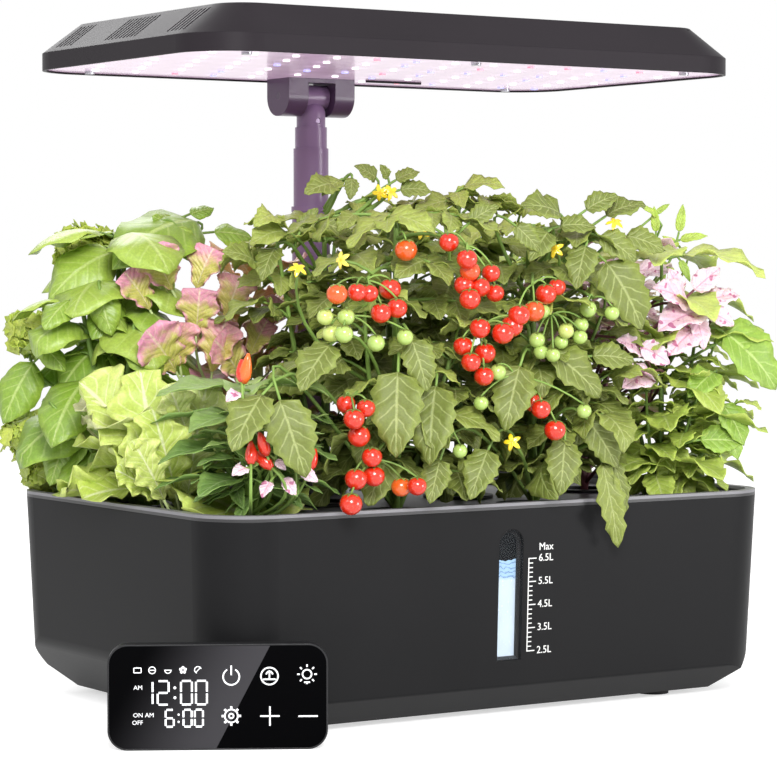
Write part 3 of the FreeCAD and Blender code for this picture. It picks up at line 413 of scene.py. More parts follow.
@dataclass(frozen=True)
class LeafFinish:
    """A leaf's colours from its middle to its edge, its veins, painted shade in the hollows of its pucker, and
    its sheen.
    """

    name: str
    middle: Colour
    edge: Colour
    young: Colour
    vein: Colour
    side_veins: float = 7.0
    vein_slant: float = 0.28
    vein_strength: float = 0.5
    roughness: float = 0.5
    pucker: float = 0.5
    edge_start: float = 0.55
    tip_start: float = 2.0
    spots: float = 0.0
    spot_colour: Colour = (0.3, 0.3, 0.3)

    def material(self) -> bpy.types.Material:
        """Build the material.

        Returns:
            The material.
        """
        tree = Tree(self.name)
        where = tree.surface()
        along = where.part(0)
        across = (where.part(1) - 0.5).absolute() * 2.0
        tint = tree.tint()
        cloud = tree.noise(tree.place(), 160.0, 3.0)
        border = (across + (cloud - 0.5) * 0.5).step(self.edge_start, self.edge_start + 0.35)
        tip = (along + (cloud - 0.5) * 0.6).step(self.tip_start, self.tip_start + 0.3)
        old = tree.mix(border.larger(tip), self.middle, self.edge)
        colour = tree.mix(tint.step(0.35, 1.0) * 0.85, old, self.young)
        ribs = ((along - across * self.vein_slant) * (self.side_veins * 2 * math.pi)).sine()
        rib_lines = ribs.step(0.8, 1.0) * across.step(1.05, 0.55)
        midrib = across.step(0.09, 0.02)
        veins = midrib.larger(rib_lines * self.vein_strength)
        net = tree.noise(tree.place(), 700.0, 4.0, 0.7)
        colour = tree.mix(veins * 0.6, colour, self.vein)
        # Painted shade: darker where the pucker bump is low, in its hollows.
        colour = tree.mix(net.step(0.62, 0.42) * 0.22, colour, tuple(c * 0.35 for c in self.middle))
        if self.spots:
            dots = tree.noise(tree.place(), 260.0, 1.0).step(0.62, 0.68)
            colour = tree.mix(dots * self.spots, colour, self.spot_colour)
        height = ribs * -0.35 + net * self.pucker - midrib * 0.6
        return tree.finish({
            "Base Color": colour,
            "Roughness": self.roughness + (net - 0.5) * 0.2,
            "Subsurface Weight": 0.12,
            "Subsurface Radius": (0.6, 1.0, 0.25),
            "Subsurface Scale": 2.0 * MM,
            "Normal": tree.bump(height, 0.55, 0.5 * MM),
        })


# Surfaces: every new piece is made of grids, and a grid is a function of two parameters


@dataclass
class Grid:
    """Copies of one surface: points of shape (copies, along, across, 3), in millimetres."""

    points: Array
    tint: Array
    wrap: bool = False

    def faces(self, start: int) -> Array:
        """Corner numbers of the quads between neighbouring points.

        Args:
            start: The number of this grid's first point.

        Returns:
            One row of four for each quad.
        """
        copies, along, across, _ = self.points.shape
        columns = across if self.wrap else across - 1
        i, j = np.meshgrid(np.arange(along - 1), np.arange(columns), indexing="ij")
        after = (j + 1) % across
        here = i * across
        quads = np.stack([here + j, here + across + j, here + across + after, here + after], -1)
        first = start + np.arange(copies) * along * across
        return (quads.reshape(1, -1, 4) + first[:, None, None]).reshape(-1, 4)

    def uvs(self) -> Array:
        """The share along and the share across at each quad's corners.

        Returns:
            One row for each corner.
        """
        copies, along, across, _ = self.points.shape
        columns = across if self.wrap else across - 1
        i, j = np.meshgrid(np.arange(along - 1), np.arange(columns), indexing="ij")
        u = np.stack([i, i + 1, i + 1, i], -1) / (along - 1)
        v = np.stack([j, j, j + 1, j + 1], -1) / columns
        return np.tile(np.stack([u, v], -1).reshape(-1, 2), (copies, 1))


def piece(name: str, grids: list[Grid], smooth: bool = True) -> bpy.types.Object:
    """Make one object from grids, with merged seams, UVs and a tint on its points.

    Args:
        name: The object's name.
        grids: What it is made of, in millimetres.
        smooth: Whether its faces shade smoothly.

    Returns:
        The object, in metres.
    """
    points = np.concatenate([g.points.reshape(-1, 3) for g in grids]) * MM
    tints = np.concatenate([np.repeat(g.tint, g.points.shape[1] * g.points.shape[2]) for g in grids])
    starts = np.cumsum([0] + [g.points.size // 3 for g in grids])
    faces = np.concatenate([g.faces(s) for g, s in zip(grids, starts)])
    uvs = np.concatenate([g.uvs() for g in grids])
    mesh = bpy.data.meshes.new(name)
    mesh.vertices.add(len(points))
    mesh.vertices.foreach_set("co", points.astype(np.float32).ravel())
    mesh.loops.add(faces.size)
    mesh.loops.foreach_set("vertex_index", faces.astype(np.int32).ravel())
    mesh.polygons.add(len(faces))
    mesh.polygons.foreach_set("loop_start", np.arange(0, faces.size, 4, dtype=np.int32))
    mesh.uv_layers.new(name="UVMap").data.foreach_set("uv", uvs.astype(np.float32).ravel())
    mesh.attributes.new("tint", "FLOAT", "POINT").data.foreach_set("value", tints.astype(np.float32))
    mesh.update(calc_edges=True)
    merge(mesh)
    mesh.polygons.foreach_set("use_smooth", np.full(len(mesh.polygons), smooth))
    thing = bpy.data.objects.new(name, mesh)
    bpy.context.scene.collection.objects.link(thing)
    return thing


def merge(mesh: bpy.types.Mesh) -> None:
    """Merge points that coincide, drop what has no area and keep the faces' sides.

    Args:
        mesh: The mesh to clean.
    """
    work = bmesh.new()
    work.from_mesh(mesh)
    bmesh.ops.remove_doubles(work, verts=work.verts, dist=2e-6)
    bmesh.ops.dissolve_degenerate(work, edges=work.edges, dist=1e-7)
    work.to_mesh(mesh)
    work.free()


def unit(vectors: Array) -> Array:
    """Vectors of length one in the same directions."""
    return vectors / np.maximum(np.linalg.norm(vectors, axis=-1, keepdims=True), 1e-9)


def tubes(paths: Array, radii: Array, sides: int, tint: Array) -> Grid:
    """Round tubes along paths, closed at both ends.

    Each ring stands square to the path: its points are the path's point plus the radius times the
    cosine and sine of the angle round it, along two directions square to the path's run.

    Args:
        paths: Points of shape (copies, stations, 3).
        radii: Radii of shape (copies, stations).
        sides: Points round a ring.
        tint: One value for each copy.

    Returns:
        The tubes.
    """
    ends = np.concatenate([paths[:, :1], paths, paths[:, -1:]], axis=1)
    widths = np.concatenate([radii[:, :1] * 0, radii, radii[:, -1:] * 0], axis=1)
    run = unit(np.gradient(paths, axis=1))
    run = np.concatenate([run[:, :1], run, run[:, -1:]], axis=1)
    level = np.broadcast_to(np.array([0.31, 0.95, 0.05]), run.shape)
    one = unit(np.cross(run, level))
    two = np.cross(run, one)
    angle = np.linspace(0, 2 * np.pi, sides, endpoint=False)
    ring = one[:, :, None] * np.cos(angle)[:, None] + two[:, :, None] * np.sin(angle)[:, None]
    return Grid(ends[:, :, None] + ring * widths[:, :, None, None], tint, wrap=True)


def curve(start: Array, control: Array, end: Array, stations: int) -> Array:
    """Points of shape (copies, stations, 3), at (1 - t)^2 start + 2 t (1 - t) control + t^2 end."""
    t = np.linspace(0, 1, stations)[None, :, None]
    return (1 - t) ** 2 * start[:, None] + 2 * t * (1 - t) * control[:, None] + t ** 2 * end[:, None]


def bearing(heading: Array, pitch: Array) -> Array:
    """Directions from a heading round the upright axis and a pitch above level."""
    level = np.cos(pitch)
    return np.stack([level * np.cos(heading), level * np.sin(heading), np.sin(pitch)], -1)


def arcs(base: Array, run: Array, face: Array, length: Array, bend: Array, stations: int) -> tuple:
    """Arcs that leave along their runs and turn away from the way they face.

    At share u an arc that bends by b has gone sin(b u) / b lengths along the run and
    (1 - cos(b u)) / b lengths away from the face.

    Args:
        base: Where they start, one row each.
        run: First directions.
        face: The ways their upper sides look.
        length: Lengths.
        bend: Whole turns, in radians.
        stations: Points along each.

    Returns:
        Points, tangents and normals of shape (copies, stations, 3), with the sides between as
        (copies, 3), in the order points, tangents, sides, normals.
    """
    run = unit(run)
    side = unit(np.cross(run, face) + 1e-6)
    lift = np.cross(side, run)
    turned = np.where(np.abs(bend) < 1e-3, 1e-3, bend)[:, None] * np.linspace(0, 1, stations)
    reach = (length / np.where(np.abs(bend) < 1e-3, 1e-3, bend))[:, None, None]
    sine = np.sin(turned)[:, :, None]
    cosine = np.cos(turned)[:, :, None]
    points = base[:, None] + reach * (sine * run[:, None] + (cosine - 1) * lift[:, None])
    tangents = cosine * run[:, None] - sine * lift[:, None]
    return points, tangents, side, sine * run[:, None] + cosine * lift[:, None]


@dataclass(frozen=True)
class Blade:
    """The form of a leaf blade, with its sizes as shares of its length."""

    width: float
    blunt: float = 0.6
    point: float = 0.9
    teeth: float = 0.06
    fold: float = 0.25
    ripple: float = 0.05
    ripples: float = 2.5
    along: int = 13
    across: int = 5
    lobe: float = 0.0
    lobes: float = 3.0

    def grid(
        self, base: Array, run: Array, face: Array, length: Array, bend: Array, tint: Array,
        wide: Union[Array, None] = None,
    ) -> Grid:
        """Blades that leave their bases and bend over.

        The midrib is an arc that starts along the run and turns down by the bend. The half width at
        share u is u to the power of blunt times (1 - u) to the power of point, scaled to its peak.
        Teeth swing it in and out from station to station, and lobes swell it in slow waves. A point at
        share v across lies v half widths to the side, lifted by the fold, and by a ripple that grows
        with the square of v.

        Args:
            base: Where the blades start, one row each.
            run: Their first directions.
            face: The ways their upper sides look.
            length: Lengths.
            bend: How far each turns down, in radians.
            tint: One value for each blade.
            wide: Widths over lengths, where they aren't the form's own.

        Returns:
            The blades.
        """
        u = np.linspace(0, 1, self.along)
        v = np.linspace(-1, 1, self.across)
        spine, _, side, normal = arcs(base, run, face, length, bend, self.along)
        peak = self.blunt / (self.blunt + self.point)
        shape = (u / peak) ** self.blunt * ((1 - u) / (1 - peak)) ** self.point
        shape = shape * (1 + self.teeth * np.where(np.arange(self.along) % 2, 1, -1))
        widths = self.width if wide is None else np.minimum(wide, self.width * 1.6)
        swell = 1 + self.lobe * np.sin(2 * np.pi * self.lobes * u[None] + tint[:, None] * 23)
        half = (length * widths)[:, None] / 2 * shape * swell
        wave = np.sin(2 * np.pi * self.ripples * u[None] + tint[:, None] * 40)
        across = half[:, :, None] * v
        height = half[:, :, None] * self.fold * np.abs(v) ** 1.4
        phase = np.where(v > 0, 1.0, -0.8)
        height = height + (length[:, None] * self.ripple * wave)[:, :, None] * v ** 2 * phase
        height = height * np.minimum(1, 4 * u * (1 - u) * 4)[None, :, None]
        sideways = across[..., None] * side[:, None, None]
        return Grid(spine[:, :, None] + sideways + height[..., None] * normal[:, :, None], tint)


def balls(centres: Array, radii: Array, tint: Array) -> Grid:
    """Round fruit hanging from their tops, a little dimpled at the stalk.

    At polar angle u the radius out is the sine of u, and the height is its cosine times the
    stretch, less a dimple that fades with the square of the angle from the stalk.

    Args:
        centres: Centres, one row each.
        radii: Radii.
        tint: One value for each fruit.

    Returns:
        The fruit.
    """
    stretch, dimple, dimple_width = 0.96, 0.16, 0.45
    u = np.linspace(0, np.pi, 9)[:, None]
    angle = np.linspace(0, 2 * np.pi, 12, endpoint=False)
    height = np.cos(u) * stretch - dimple * np.exp(-(u / dimple_width) ** 2)
    ring = np.stack([np.sin(u) * np.cos(angle), np.sin(u) * np.sin(angle), height + 0 * angle], -1)
    return Grid(centres[:, None, None] + radii[:, None, None, None] * ring[:, ::-1], tint, wrap=True)


def give(thing: bpy.types.Object, finish: bpy.types.Material, body: str, slot: str, *nodes: str) -> None:
    """Finish a new piece and tie it to the frame.

    Args:
        thing: The piece.
        finish: Its material.
        body: The body that it moves with.
        slot: The record's material slot. Not used.
        nodes: The CAD nodes that it stands for.
    """
    thing.data.materials.clear()
    thing.data.materials.append(finish)
    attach(thing, body)
    if nodes:
        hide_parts(*nodes)
    log.info("%s: %d faces", thing.name, len(thing.data.polygons))


def thicken(thing: bpy.types.Object, thickness_mm: float) -> None:
    """Give a sheet its thickness, half of it on either side.

    Args:
        thing: The sheet.
        thickness_mm: The thickness.
    """
    wall = thing.modifiers.new("thickness", "SOLIDIFY")
    wall.thickness = thickness_mm * MM
    wall.offset = 0.0


# The photograph's camera, and the room for the plants


@dataclass(frozen=True)
class Sight:
    """The camera of the photograph, in millimetres and in its pixels."""

    eye: tuple = (-896.95, -1365.37, 233.28)
    target: tuple = (27.15, 45.42, 168.5)
    focal_px: float = 2908.06
    width_px: float = 777.0
    height_px: float = 768.0
    sensor_mm: float = 36.0

    def at(self, pixels: Array, y: Array) -> Array:
        """The points seen at pixels that lie on upright planes across the object.

        Args:
            pixels: Rows of pixel right and pixel down.
            y: How far back each plane is.

        Returns:
            One point for each pixel.
        """
        eye = np.array(self.eye)
        forward = unit(np.array(self.target) - eye)
        right = unit(np.cross(forward, [0.0, 0.0, 1.0]))
        up = np.cross(right, forward)
        pixels = np.asarray(pixels, float).reshape(-1, 2)
        across = (pixels[:, :1] - self.width_px / 2) / self.focal_px
        rise = (self.height_px / 2 - pixels[:, 1:]) / self.focal_px
        ray = forward + across * right + rise * up
        return eye + ray * ((np.asarray(y, float).reshape(-1, 1) - eye[1]) / ray[:, 1:2])

    def camera(self) -> None:
        """Make the scene's camera."""
        data = bpy.data.cameras.new("camera")
        data.sensor_width = self.sensor_mm
        data.lens = self.focal_px / self.width_px * self.sensor_mm
        data.clip_end = 20.0
        camera = bpy.data.objects.new("camera", data)
        bpy.context.scene.collection.objects.link(camera)
        camera.location = Vector(self.eye) * MM
        way = Vector(self.target) - Vector(self.eye)
        camera.rotation_euler = way.to_track_quat("-Z", "Y").to_euler()
        bpy.context.scene.camera = camera


SIGHT = Sight()


@dataclass(frozen=True)
class Studio:
    """A pale floor, soft lamps and a white room."""

    floor_z: float = -3.05
    floor_size: float = 6000.0
    floor_colour: Colour = (0.72, 0.72, 0.72)
    floor_glow: float = 0.6
    world_light: float = 0.61
    # Each lamp: its name, its place, the length of its side, and its power in watts.
    lamps: tuple = (
        ("key", (-760.0, -1500.0, 980.0), 620.0, 34.0),
        ("fill", (1060.0, -1400.0, 160.0), 520.0, 13.0),
        ("side", (-1500.0, -300.0, 1150.0), 700.0, 4.0),
        ("back", (300.0, 1300.0, 1200.0), 900.0, 9.0),
    )
    aim: tuple = (0.0, 0.0, 170.0)

    def build(self) -> None:
        """Make the camera, the floor, the world and the lamps."""
        SIGHT.camera()
        bpy.context.scene.view_settings.view_transform = "Standard"
        self._floor()
        self._world()
        for lamp in self.lamps:
            self._lamp(*lamp)

    def _floor(self) -> None:
        """A wide pale floor that is white where the camera sees it lit."""
        half = self.floor_size / 2
        u, v = np.meshgrid([-half, half], [-half, half], indexing="ij")
        floor = piece("floor", [Grid(np.stack([u, v, u * 0 + self.floor_z], -1)[None], np.zeros(1))], False)
        tree = Tree("floor")
        base = tree.add("ShaderNodeBsdfDiffuse", {}, {"Color": self.floor_colour})
        glow = tree.add("ShaderNodeEmission", {}, {"Color": WHITE, "Strength": tree.seen() * self.floor_glow})
        both = tree.add("ShaderNodeAddShader", {}, {0: base, 1: glow})
        tree.add("ShaderNodeOutputMaterial", {}, {"Surface": both})
        floor.data.materials.append(tree.owner)

    def _world(self) -> None:
        """White to the eye, also in gloss and through glass, and a plain grey light otherwise."""
        tree = Tree("room", bpy.data.worlds)
        strength = tree.add("ShaderNodeMapRange", {}, {"Value": tree.seen(), "To Min": self.world_light})
        background = tree.add("ShaderNodeBackground", {}, {"Color": WHITE, "Strength": strength})
        tree.add("ShaderNodeOutputWorld", {}, {"Surface": background})
        bpy.context.scene.world = tree.owner

    def _lamp(self, name: str, place: tuple, size: float, power: float) -> None:
        """One large soft lamp that looks at the object.

        Args:
            name: Its name.
            place: Where it hangs, in millimetres.
            size: The length of its side.
            power: Its power in watts.
        """
        data = bpy.data.lights.new(name, "AREA")
        data.size = size * MM
        data.energy = power
        lamp = bpy.data.objects.new(name, data)
        bpy.context.scene.collection.objects.link(lamp)
        lamp.location = Vector(place) * MM
        lamp.rotation_euler = (Vector(self.aim) * MM - lamp.location).to_track_quat("-Z", "Y").to_euler()


@dataclass(frozen=True)
class Room:
    """Where the plants may be, in millimetres, so that the moving pieces clear them."""

    deck: float = 107.0
    rim: float = 113.4
    rim_x: float = 172.0
    rim_y: float = 113.0
    roof: float = 293.0
    back_roof: float = 279.0
    back_from: float = 62.0
    left: float = -194.0
    right: float = 200.0
    front: float = -146.0
    back: float = 129.0
    pole: tuple = (-4.8, 79.0)
    pole_gap: float = 14.8
    base_low: tuple = (-24.2, 61.5)
    base_high: tuple = (14.6, 109.0)
    base_top: float = 131.0
    flap: tuple = (113.1, 106.9)
    flap_x: tuple = (69.0, 111.0)
    flap_gap: float = 23.5

    def hold(self, points: Array) -> Array:
        """Move points out of the space of the pole, its base, the flap, the deck and the lamp.

        Args:
            points: Points of any shape whose last axis is x, y, z.

        Returns:
            The points, moved the shortest way where they have to be.
        """
        x, y, z = (points[..., i].copy() for i in range(3))
        x = np.clip(x, self.left, self.right)
        y = np.clip(y, self.front, self.back)
        in_base = (x > self.base_low[0]) & (x < self.base_high[0]) & (y > self.base_low[1])
        in_base &= z < self.base_top
        middle = (self.base_low[0] + self.base_high[0]) / 2
        sideways = np.where(x < middle, self.base_low[0], self.base_high[0])
        near_side = np.abs(sideways - x) < y - self.base_low[1]
        x = np.where(in_base & near_side, sideways, x)
        y = np.where(in_base & ~near_side, self.base_low[1], y)
        dx = x - self.pole[0]
        dy = y - self.pole[1]
        away = np.maximum(np.hypot(dx, dy), 1e-3)
        push = np.maximum(self.pole_gap / away, 1.0)
        x = self.pole[0] + dx * push
        y = self.pole[1] + dy * push
        over_rim = (np.abs(x) > self.rim_x) | (np.abs(y) > self.rim_y)
        z = np.maximum(z, np.where(over_rim, self.rim, self.deck))
        by_flap = (x > self.flap_x[0]) & (x < self.flap_x[1])
        dy = y - self.flap[0]
        dz = np.maximum(z - self.flap[1], 0.1)
        push = np.where(by_flap, np.maximum(self.flap_gap / np.maximum(np.hypot(dy, dz), 1e-3), 1.0), 1.0)
        y = np.where(by_flap, np.minimum(self.flap[0] + dy * push, self.back), y)
        z = np.where(by_flap, np.maximum(z, self.flap[1] + dz * push), z)
        z = np.minimum(z, np.where(y > self.back_from, self.back_roof, self.roof))
        return np.stack([x, y, z], -1)

    def clear(self, grid: Grid) -> Grid:
        """Hold leaves in the room, and leave off those that still lie across the pole.

        A leaf lies across it where the middle between two neighbouring points is inside the gap.

        Args:
            grid: The leaves.

        Returns:
            The leaves that can be there.
        """
        points = self.hold(grid.points)
        off = points[..., :2] - np.array(self.pole)
        along = np.linalg.norm(off[:, 1:] + off[:, :-1], axis=-1).min(axis=(1, 2)) / 2
        across = np.linalg.norm(off[:, :, 1:] + off[:, :, :-1], axis=-1).min(axis=(1, 2)) / 2
        keep = np.minimum(along, across) > self.pole_gap - 1.6
        return Grid(points[keep], grid.tint[keep])


ROOM = Room()


# The hard pieces


@dataclass(frozen=True)
class GlowBoard:
    """The white board under the lamp, with the chips' light painted on it: a pink tint and a glow round each
    chip.
    """

    name: str = "lit board"
    middle: tuple = (-3.6, -0.8)
    pitch: tuple = (25.0, 30.28)
    rows: int = 6
    halo_mm: float = 4.2
    strength: float = 1.1

    def material(self) -> bpy.types.Material:
        """Build the material.

        A chip's row is the nearest whole number of pitches, each odd row is half a pitch over, and
        the glow falls as one over one plus the squared share of the halo, squared again.

        Returns:
            The material.
        """
        tree = Tree(self.name)
        x = tree.place().part(0) * 1000.0
        y = tree.place().part(1) * 1000.0
        high = (y - self.middle[1]) / self.pitch[1] + (self.rows - 1) / 2
        row = (high + 0.5).floor()
        off_row = (high - row) * self.pitch[1]
        odd = row - (row / 2.0).floor() * 2.0
        along = (x - self.middle[0] - (odd - 0.5) * (self.pitch[0] / 2)) / self.pitch[0]
        off_column = (along - (along + 0.5).floor()) * self.pitch[0]
        far = (off_row ** 2.0 + off_column ** 2.0) / self.halo_mm ** 2
        glow = (1.0 / (1.0 + far)) ** 1.6
        return tree.finish({
            # Painted light: the pink base colour is the chips' light on a white board, and the emission is a
            # painted glow round each chip, where the board itself is no lamp.
            "Base Color": (0.62, 0.50, 0.60),
            "Roughness": 0.22 + (tree.noise(tree.place(), 60.0) - 0.5) * 0.1,
            "Coat Weight": 0.3,
            "Emission Color": tree.mix(glow, (0.22, 0.13, 0.22), (0.55, 0.36, 0.55)),
            "Emission Strength": self.strength,
        })


@dataclass(frozen=True)
class GlowChips:
    """Lit chips, most of them warm white and the rest red or blue."""

    name: str = "lit chips"
    middle: tuple = (-0.0036, -0.0008, 0.0)
    cell: tuple = (0.0125, 0.03028, 1.0)
    white: Colour = (1.0, 0.9, 0.97)
    red: Colour = (1.0, 0.22, 0.3)
    blue: Colour = (0.36, 0.36, 1.0)

    def material(self) -> bpy.types.Material:
        """Build the material.

        Each chip stands in the middle of a cell of half a pitch by a row, and the cell picks its hue.

        Returns:
            The material.
        """
        tree = Tree(self.name)
        both = {0: tree.place(), 1: self.middle}
        from_middle = tree.add("ShaderNodeVectorMath", {"operation": "SUBTRACT"}, both)
        cell = tree.add("ShaderNodeVectorMath", {"operation": "SNAP"}, {0: from_middle, 1: self.cell})
        pick = tree.add("ShaderNodeTexWhiteNoise", {}, {0: cell})
        hue = tree.ramp(pick, ((0.0, self.white), (0.5, self.red), (0.76, self.blue)))
        return tree.finish({
            "Base Color": tree.mix(0.8, hue, BLACK),
            "Roughness": 0.3,
            "Emission Color": hue,
            "Emission Strength": 1.6,
        })


@dataclass(frozen=True)
class DeckFinish:
    """The deck's dark grey plastic, with light painted on: a painted highlight on its rim, the grow light's
    purple painted on its tray, and a painted shade line in the gap where it meets the tank.
    """

    name: str = "deck plastic"
    # Painted light: the rim's colour is a painted highlight, the tray's is the grow light's painted purple, and
    # the line's is painted shade.
    rim: Colour = srgb("7b7a7e")
    tray: Colour = srgb("6b6470")
    line: Colour = srgb("232324")
    line_top: float = 110.1

    def material(self) -> bpy.types.Material:
        """Build the material.

        Returns:
            The material.
        """
        tree = Tree(self.name)
        height = tree.place().part(2) * 1000.0
        grain = tree.noise(tree.place(), 2600.0, 2.0, 0.6)
        cloud = tree.noise(tree.place(), 14.0, 3.0)
        # Painted highlight on the rim, and the grow light's purple painted on the tray below it.
        plain = tree.mix(height.step(105.5, 108.0), self.tray, self.rim)
        # Painted shade: a dark band just under the rim's top, in the gap where the deck meets the tank.
        band = height.above(self.line_top) * -1.0 + height.above(self.line_top - 1.8)
        colour = tree.mix(band.larger(0.0), plain, self.line)
        return tree.finish({
            "Base Color": tree.mix(cloud * 0.18, colour, (0.05, 0.045, 0.055)),
            "Roughness": 0.42 + (grain - 0.5) * 0.14,
            "Normal": tree.bump(grain, 0.12, 0.1 * MM),
        })


@dataclass(frozen=True)
class PadFaceFinish:
    """The pad's gloss face: black, with a painted reflection, a lighter band left of a slanting edge."""

    name: str = "pad gloss face"
    origin: tuple = (-183.2, -121.7)
    turn: float = math.radians(-30.0)
    table_z: float = -3.0
    # Where the painted reflection's slanting edge stands, and how far the reflection fades.
    edge_top: tuple = (26.0, 52.0)
    edge_foot: tuple = (-1.0, 0.5)
    fade_mm: float = 62.0

    def material(self) -> bpy.types.Material:
        """Build the material.

        The face's own x is the point's run along the pad. The slanting edge is the straight line
        between its top and its foot, and the painted reflection fades with the distance to the left of it.

        Returns:
            The material.
        """
        tree = Tree(self.name)
        x = tree.place().part(0) * 1000.0 - self.origin[0]
        y = tree.place().part(1) * 1000.0 - self.origin[1]
        along = x * math.cos(self.turn) + y * math.sin(self.turn)
        height = tree.place().part(2) * 1000.0 - self.table_z
        slope = (self.edge_top[0] - self.edge_foot[0]) / (self.edge_top[1] - self.edge_foot[1])
        left = (height - self.edge_foot[1]) * slope + self.edge_foot[0] - along
        # Painted reflection: a lighter band left of the slanting edge, fading away from it.
        sheen = left.above(0.0) * left.step(self.fade_mm, 0.0)
        smear = tree.noise(tree.place(), 90.0, 3.0)
        return tree.finish({
            # The lighter colour is the painted reflection.
            "Base Color": tree.mix(sheen, srgb("020203"), srgb("3c3b3e")),
            "Roughness": 0.12 + (smear - 0.5) * 0.08,
            "Specular IOR Level": 0.02,
        })


@dataclass(frozen=True)
class CircuitFinish:
    """A green circuit board with its tracks."""

    name: str = "circuit board"

    def material(self) -> bpy.types.Material:
        """Build the material.

        Returns:
            The material.
        """
        tree = Tree(self.name)
        scaled = {"Vector": tree.place(), "Scale": 700.0, "Mortar Size": 0.06}
        tracks = tree.add("ShaderNodeTexBrick", {}, scaled, 1)
        return tree.finish({
            "Base Color": tree.mix(tracks, (0.015, 0.11, 0.045), (0.09, 0.25, 0.08)),
            "Roughness": 0.4,
            "Normal": tree.bump(tracks, 0.3, 0.05 * MM),
        })


@dataclass(frozen=True)
class WaterFinish:
    """What shows behind the sight window: painted shade above, for the dark inside of the empty tank, a rippled
    surface, and pale water below with a painted glow.
    """

    name: str = "water behind the window"
    surface_z: float = 81.2
    band_mm: float = 10.0
    # The colour above the water is painted shade.
    dark: Colour = srgb("0a0b0d")
    band: Colour = srgb("9cc3e6")
    ripple: Colour = srgb("3a64a8")
    water: Colour = srgb("c9d9e8")

    def material(self) -> bpy.types.Material:
        """Build the material.

        Returns:
            The material.
        """
        tree = Tree(self.name)
        height = tree.place().part(2) * 1000.0
        wave = tree.noise(tree.place(), 320.0, 3.0)
        level = height + (wave - 0.5) * 3.0
        lines = (level * 2.6 + wave * 5.0).sine().step(0.5, 0.95)
        in_band = level.step(self.surface_z - self.band_mm - 1.0, self.surface_z - self.band_mm + 1.0)
        bubbles = tree.add("ShaderNodeTexVoronoi", {}, {"Vector": tree.place(), "Scale": 420.0}, 0)
        spots = bubbles.step(0.2, 0.12)
        water = tree.mix(spots * 0.6, self.water, (0.95, 0.98, 1.0))
        surface = tree.mix(lines * 0.8, self.band, self.ripple)
        below = tree.mix(in_band, water, surface)
        # Painted shade: dark above the water's surface.
        colour = tree.mix(level.above(self.surface_z), below, self.dark)
        return tree.finish({
            "Base Color": colour,
            "Roughness": 0.2 + spots * 0.05,
            "Specular IOR Level": 0.06,
            # Painted light: the water below the surface glows, though it is no lamp.
            "Emission Color": tree.mix(level.above(self.surface_z), (0.16, 0.19, 0.22), BLACK),
            "Emission Strength": 1.0,
        })


FINISHES = {
    "tank_shell": Moulding("tank plastic", srgb("1a1a1b"), 0.42, edge_mm=0.8, specular=0.07),
    "deck_shell": DeckFinish(),
    "window": ClearPane("window pane", 0.08),
    "seal": Rubber("window seal", srgb("2b2b2c"), 0.5, 0.2),
    "white_print": Moulding("white print", srgb("e6e6e4"), 0.55, 0.2, 0.05, 0.05, 0.1),
    "foot_rubber": Rubber("foot rubber", srgb("1f1f20")),
    "pump_shell": Moulding("pump plastic", srgb("26272a"), 0.5),
    "impeller": Moulding("impeller plastic", srgb("d8d8d2"), 0.4),
    "pad_case": Moulding("pad case", srgb("1d1d1f"), 0.38, specular=0.3),
    "pad_face": PadFaceFinish(),
    "circuit_board": CircuitFinish(),
    "battery_can": Metal("battery can", srgb("a7abb0"), 0.35, 0.9),
    "plain_steel": Metal("plain steel", srgb("b9bbbf"), 0.28),
    "sponge": Rubber("growing sponge", srgb("5d4634"), 1.4, 0.8),
    "jack_body": Moulding("jack plastic", srgb("161617"), 0.4),
    # Painted light: the purple in the pole, bracket, pin and button colours is the grow lamp's light painted on.
    "pole_tube": Moulding("pole coat", srgb("866b8f"), 0.34, 0.5, 0.08, 0.06, 0.3, 0.1),
    "hinge_bracket": Moulding("bracket plastic", srgb("513a57"), 0.34, 0.5, 0.08, 0.06, 0.5, 0.1),
    "hinge_pin": Metal("dark pin steel", srgb("5d5160"), 0.35),
    "button_cap": Metal("button metal", srgb("5a4f5e"), 0.3),
    "lamp_shell": Moulding("lamp plastic", srgb("252125"), 0.44, edge_mm=0.9, specular=0.09),
    "light_board": GlowBoard(),
    "light_chip": GlowChips(),
    "basket": Moulding("basket plastic", srgb("1c1b1d"), 0.5),
}


class HardPieces:
    """The CAD nodes that keep their shape and get their finish by their own name or material slot."""

    def build(self) -> None:
        """Dress every node whose name or slot has a finish."""
        materials = {key: finish.material() for key, finish in FINISHES.items()}
        for part in frame["record"]["subparts"]:
            material = materials.get(part["node"], materials.get(part["material_slot"]))
            if material:
                node = frame["nodes"][part["node"]]
                node.data.materials.clear()
                node.data.materials.append(material)
                log.info("%s dressed as %s", part["node"], material.name)


def letter(work: Any, words: str, size: float, relief: float, detail: int, place: Matrix) -> None:
    """Add raised words to a mesh that is being made.

    Args:
        work: The mesh.
        words: What they say.
        size: The size of the letters, in millimetres.
        relief: Their thickness, in millimetres.
        detail: How finely their bends are cut.
        place: Their turn and place, in metres.
    """
    data = bpy.data.curves.new("words", "FONT")
    data.body = words
    data.size = size * MM
    data.align_y = "CENTER"
    data.extrude = relief / 2 * MM
    data.resolution_u = detail
    text = bpy.data.objects.new("words", data)
    bpy.context.scene.collection.objects.link(text)
    bpy.context.view_layer.update()
    mesh = bpy.data.meshes.new_from_object(text)
    bpy.data.objects.remove(text)
    mesh.transform(place)
    work.from_mesh(mesh)
    bpy.data.meshes.remove(mesh)


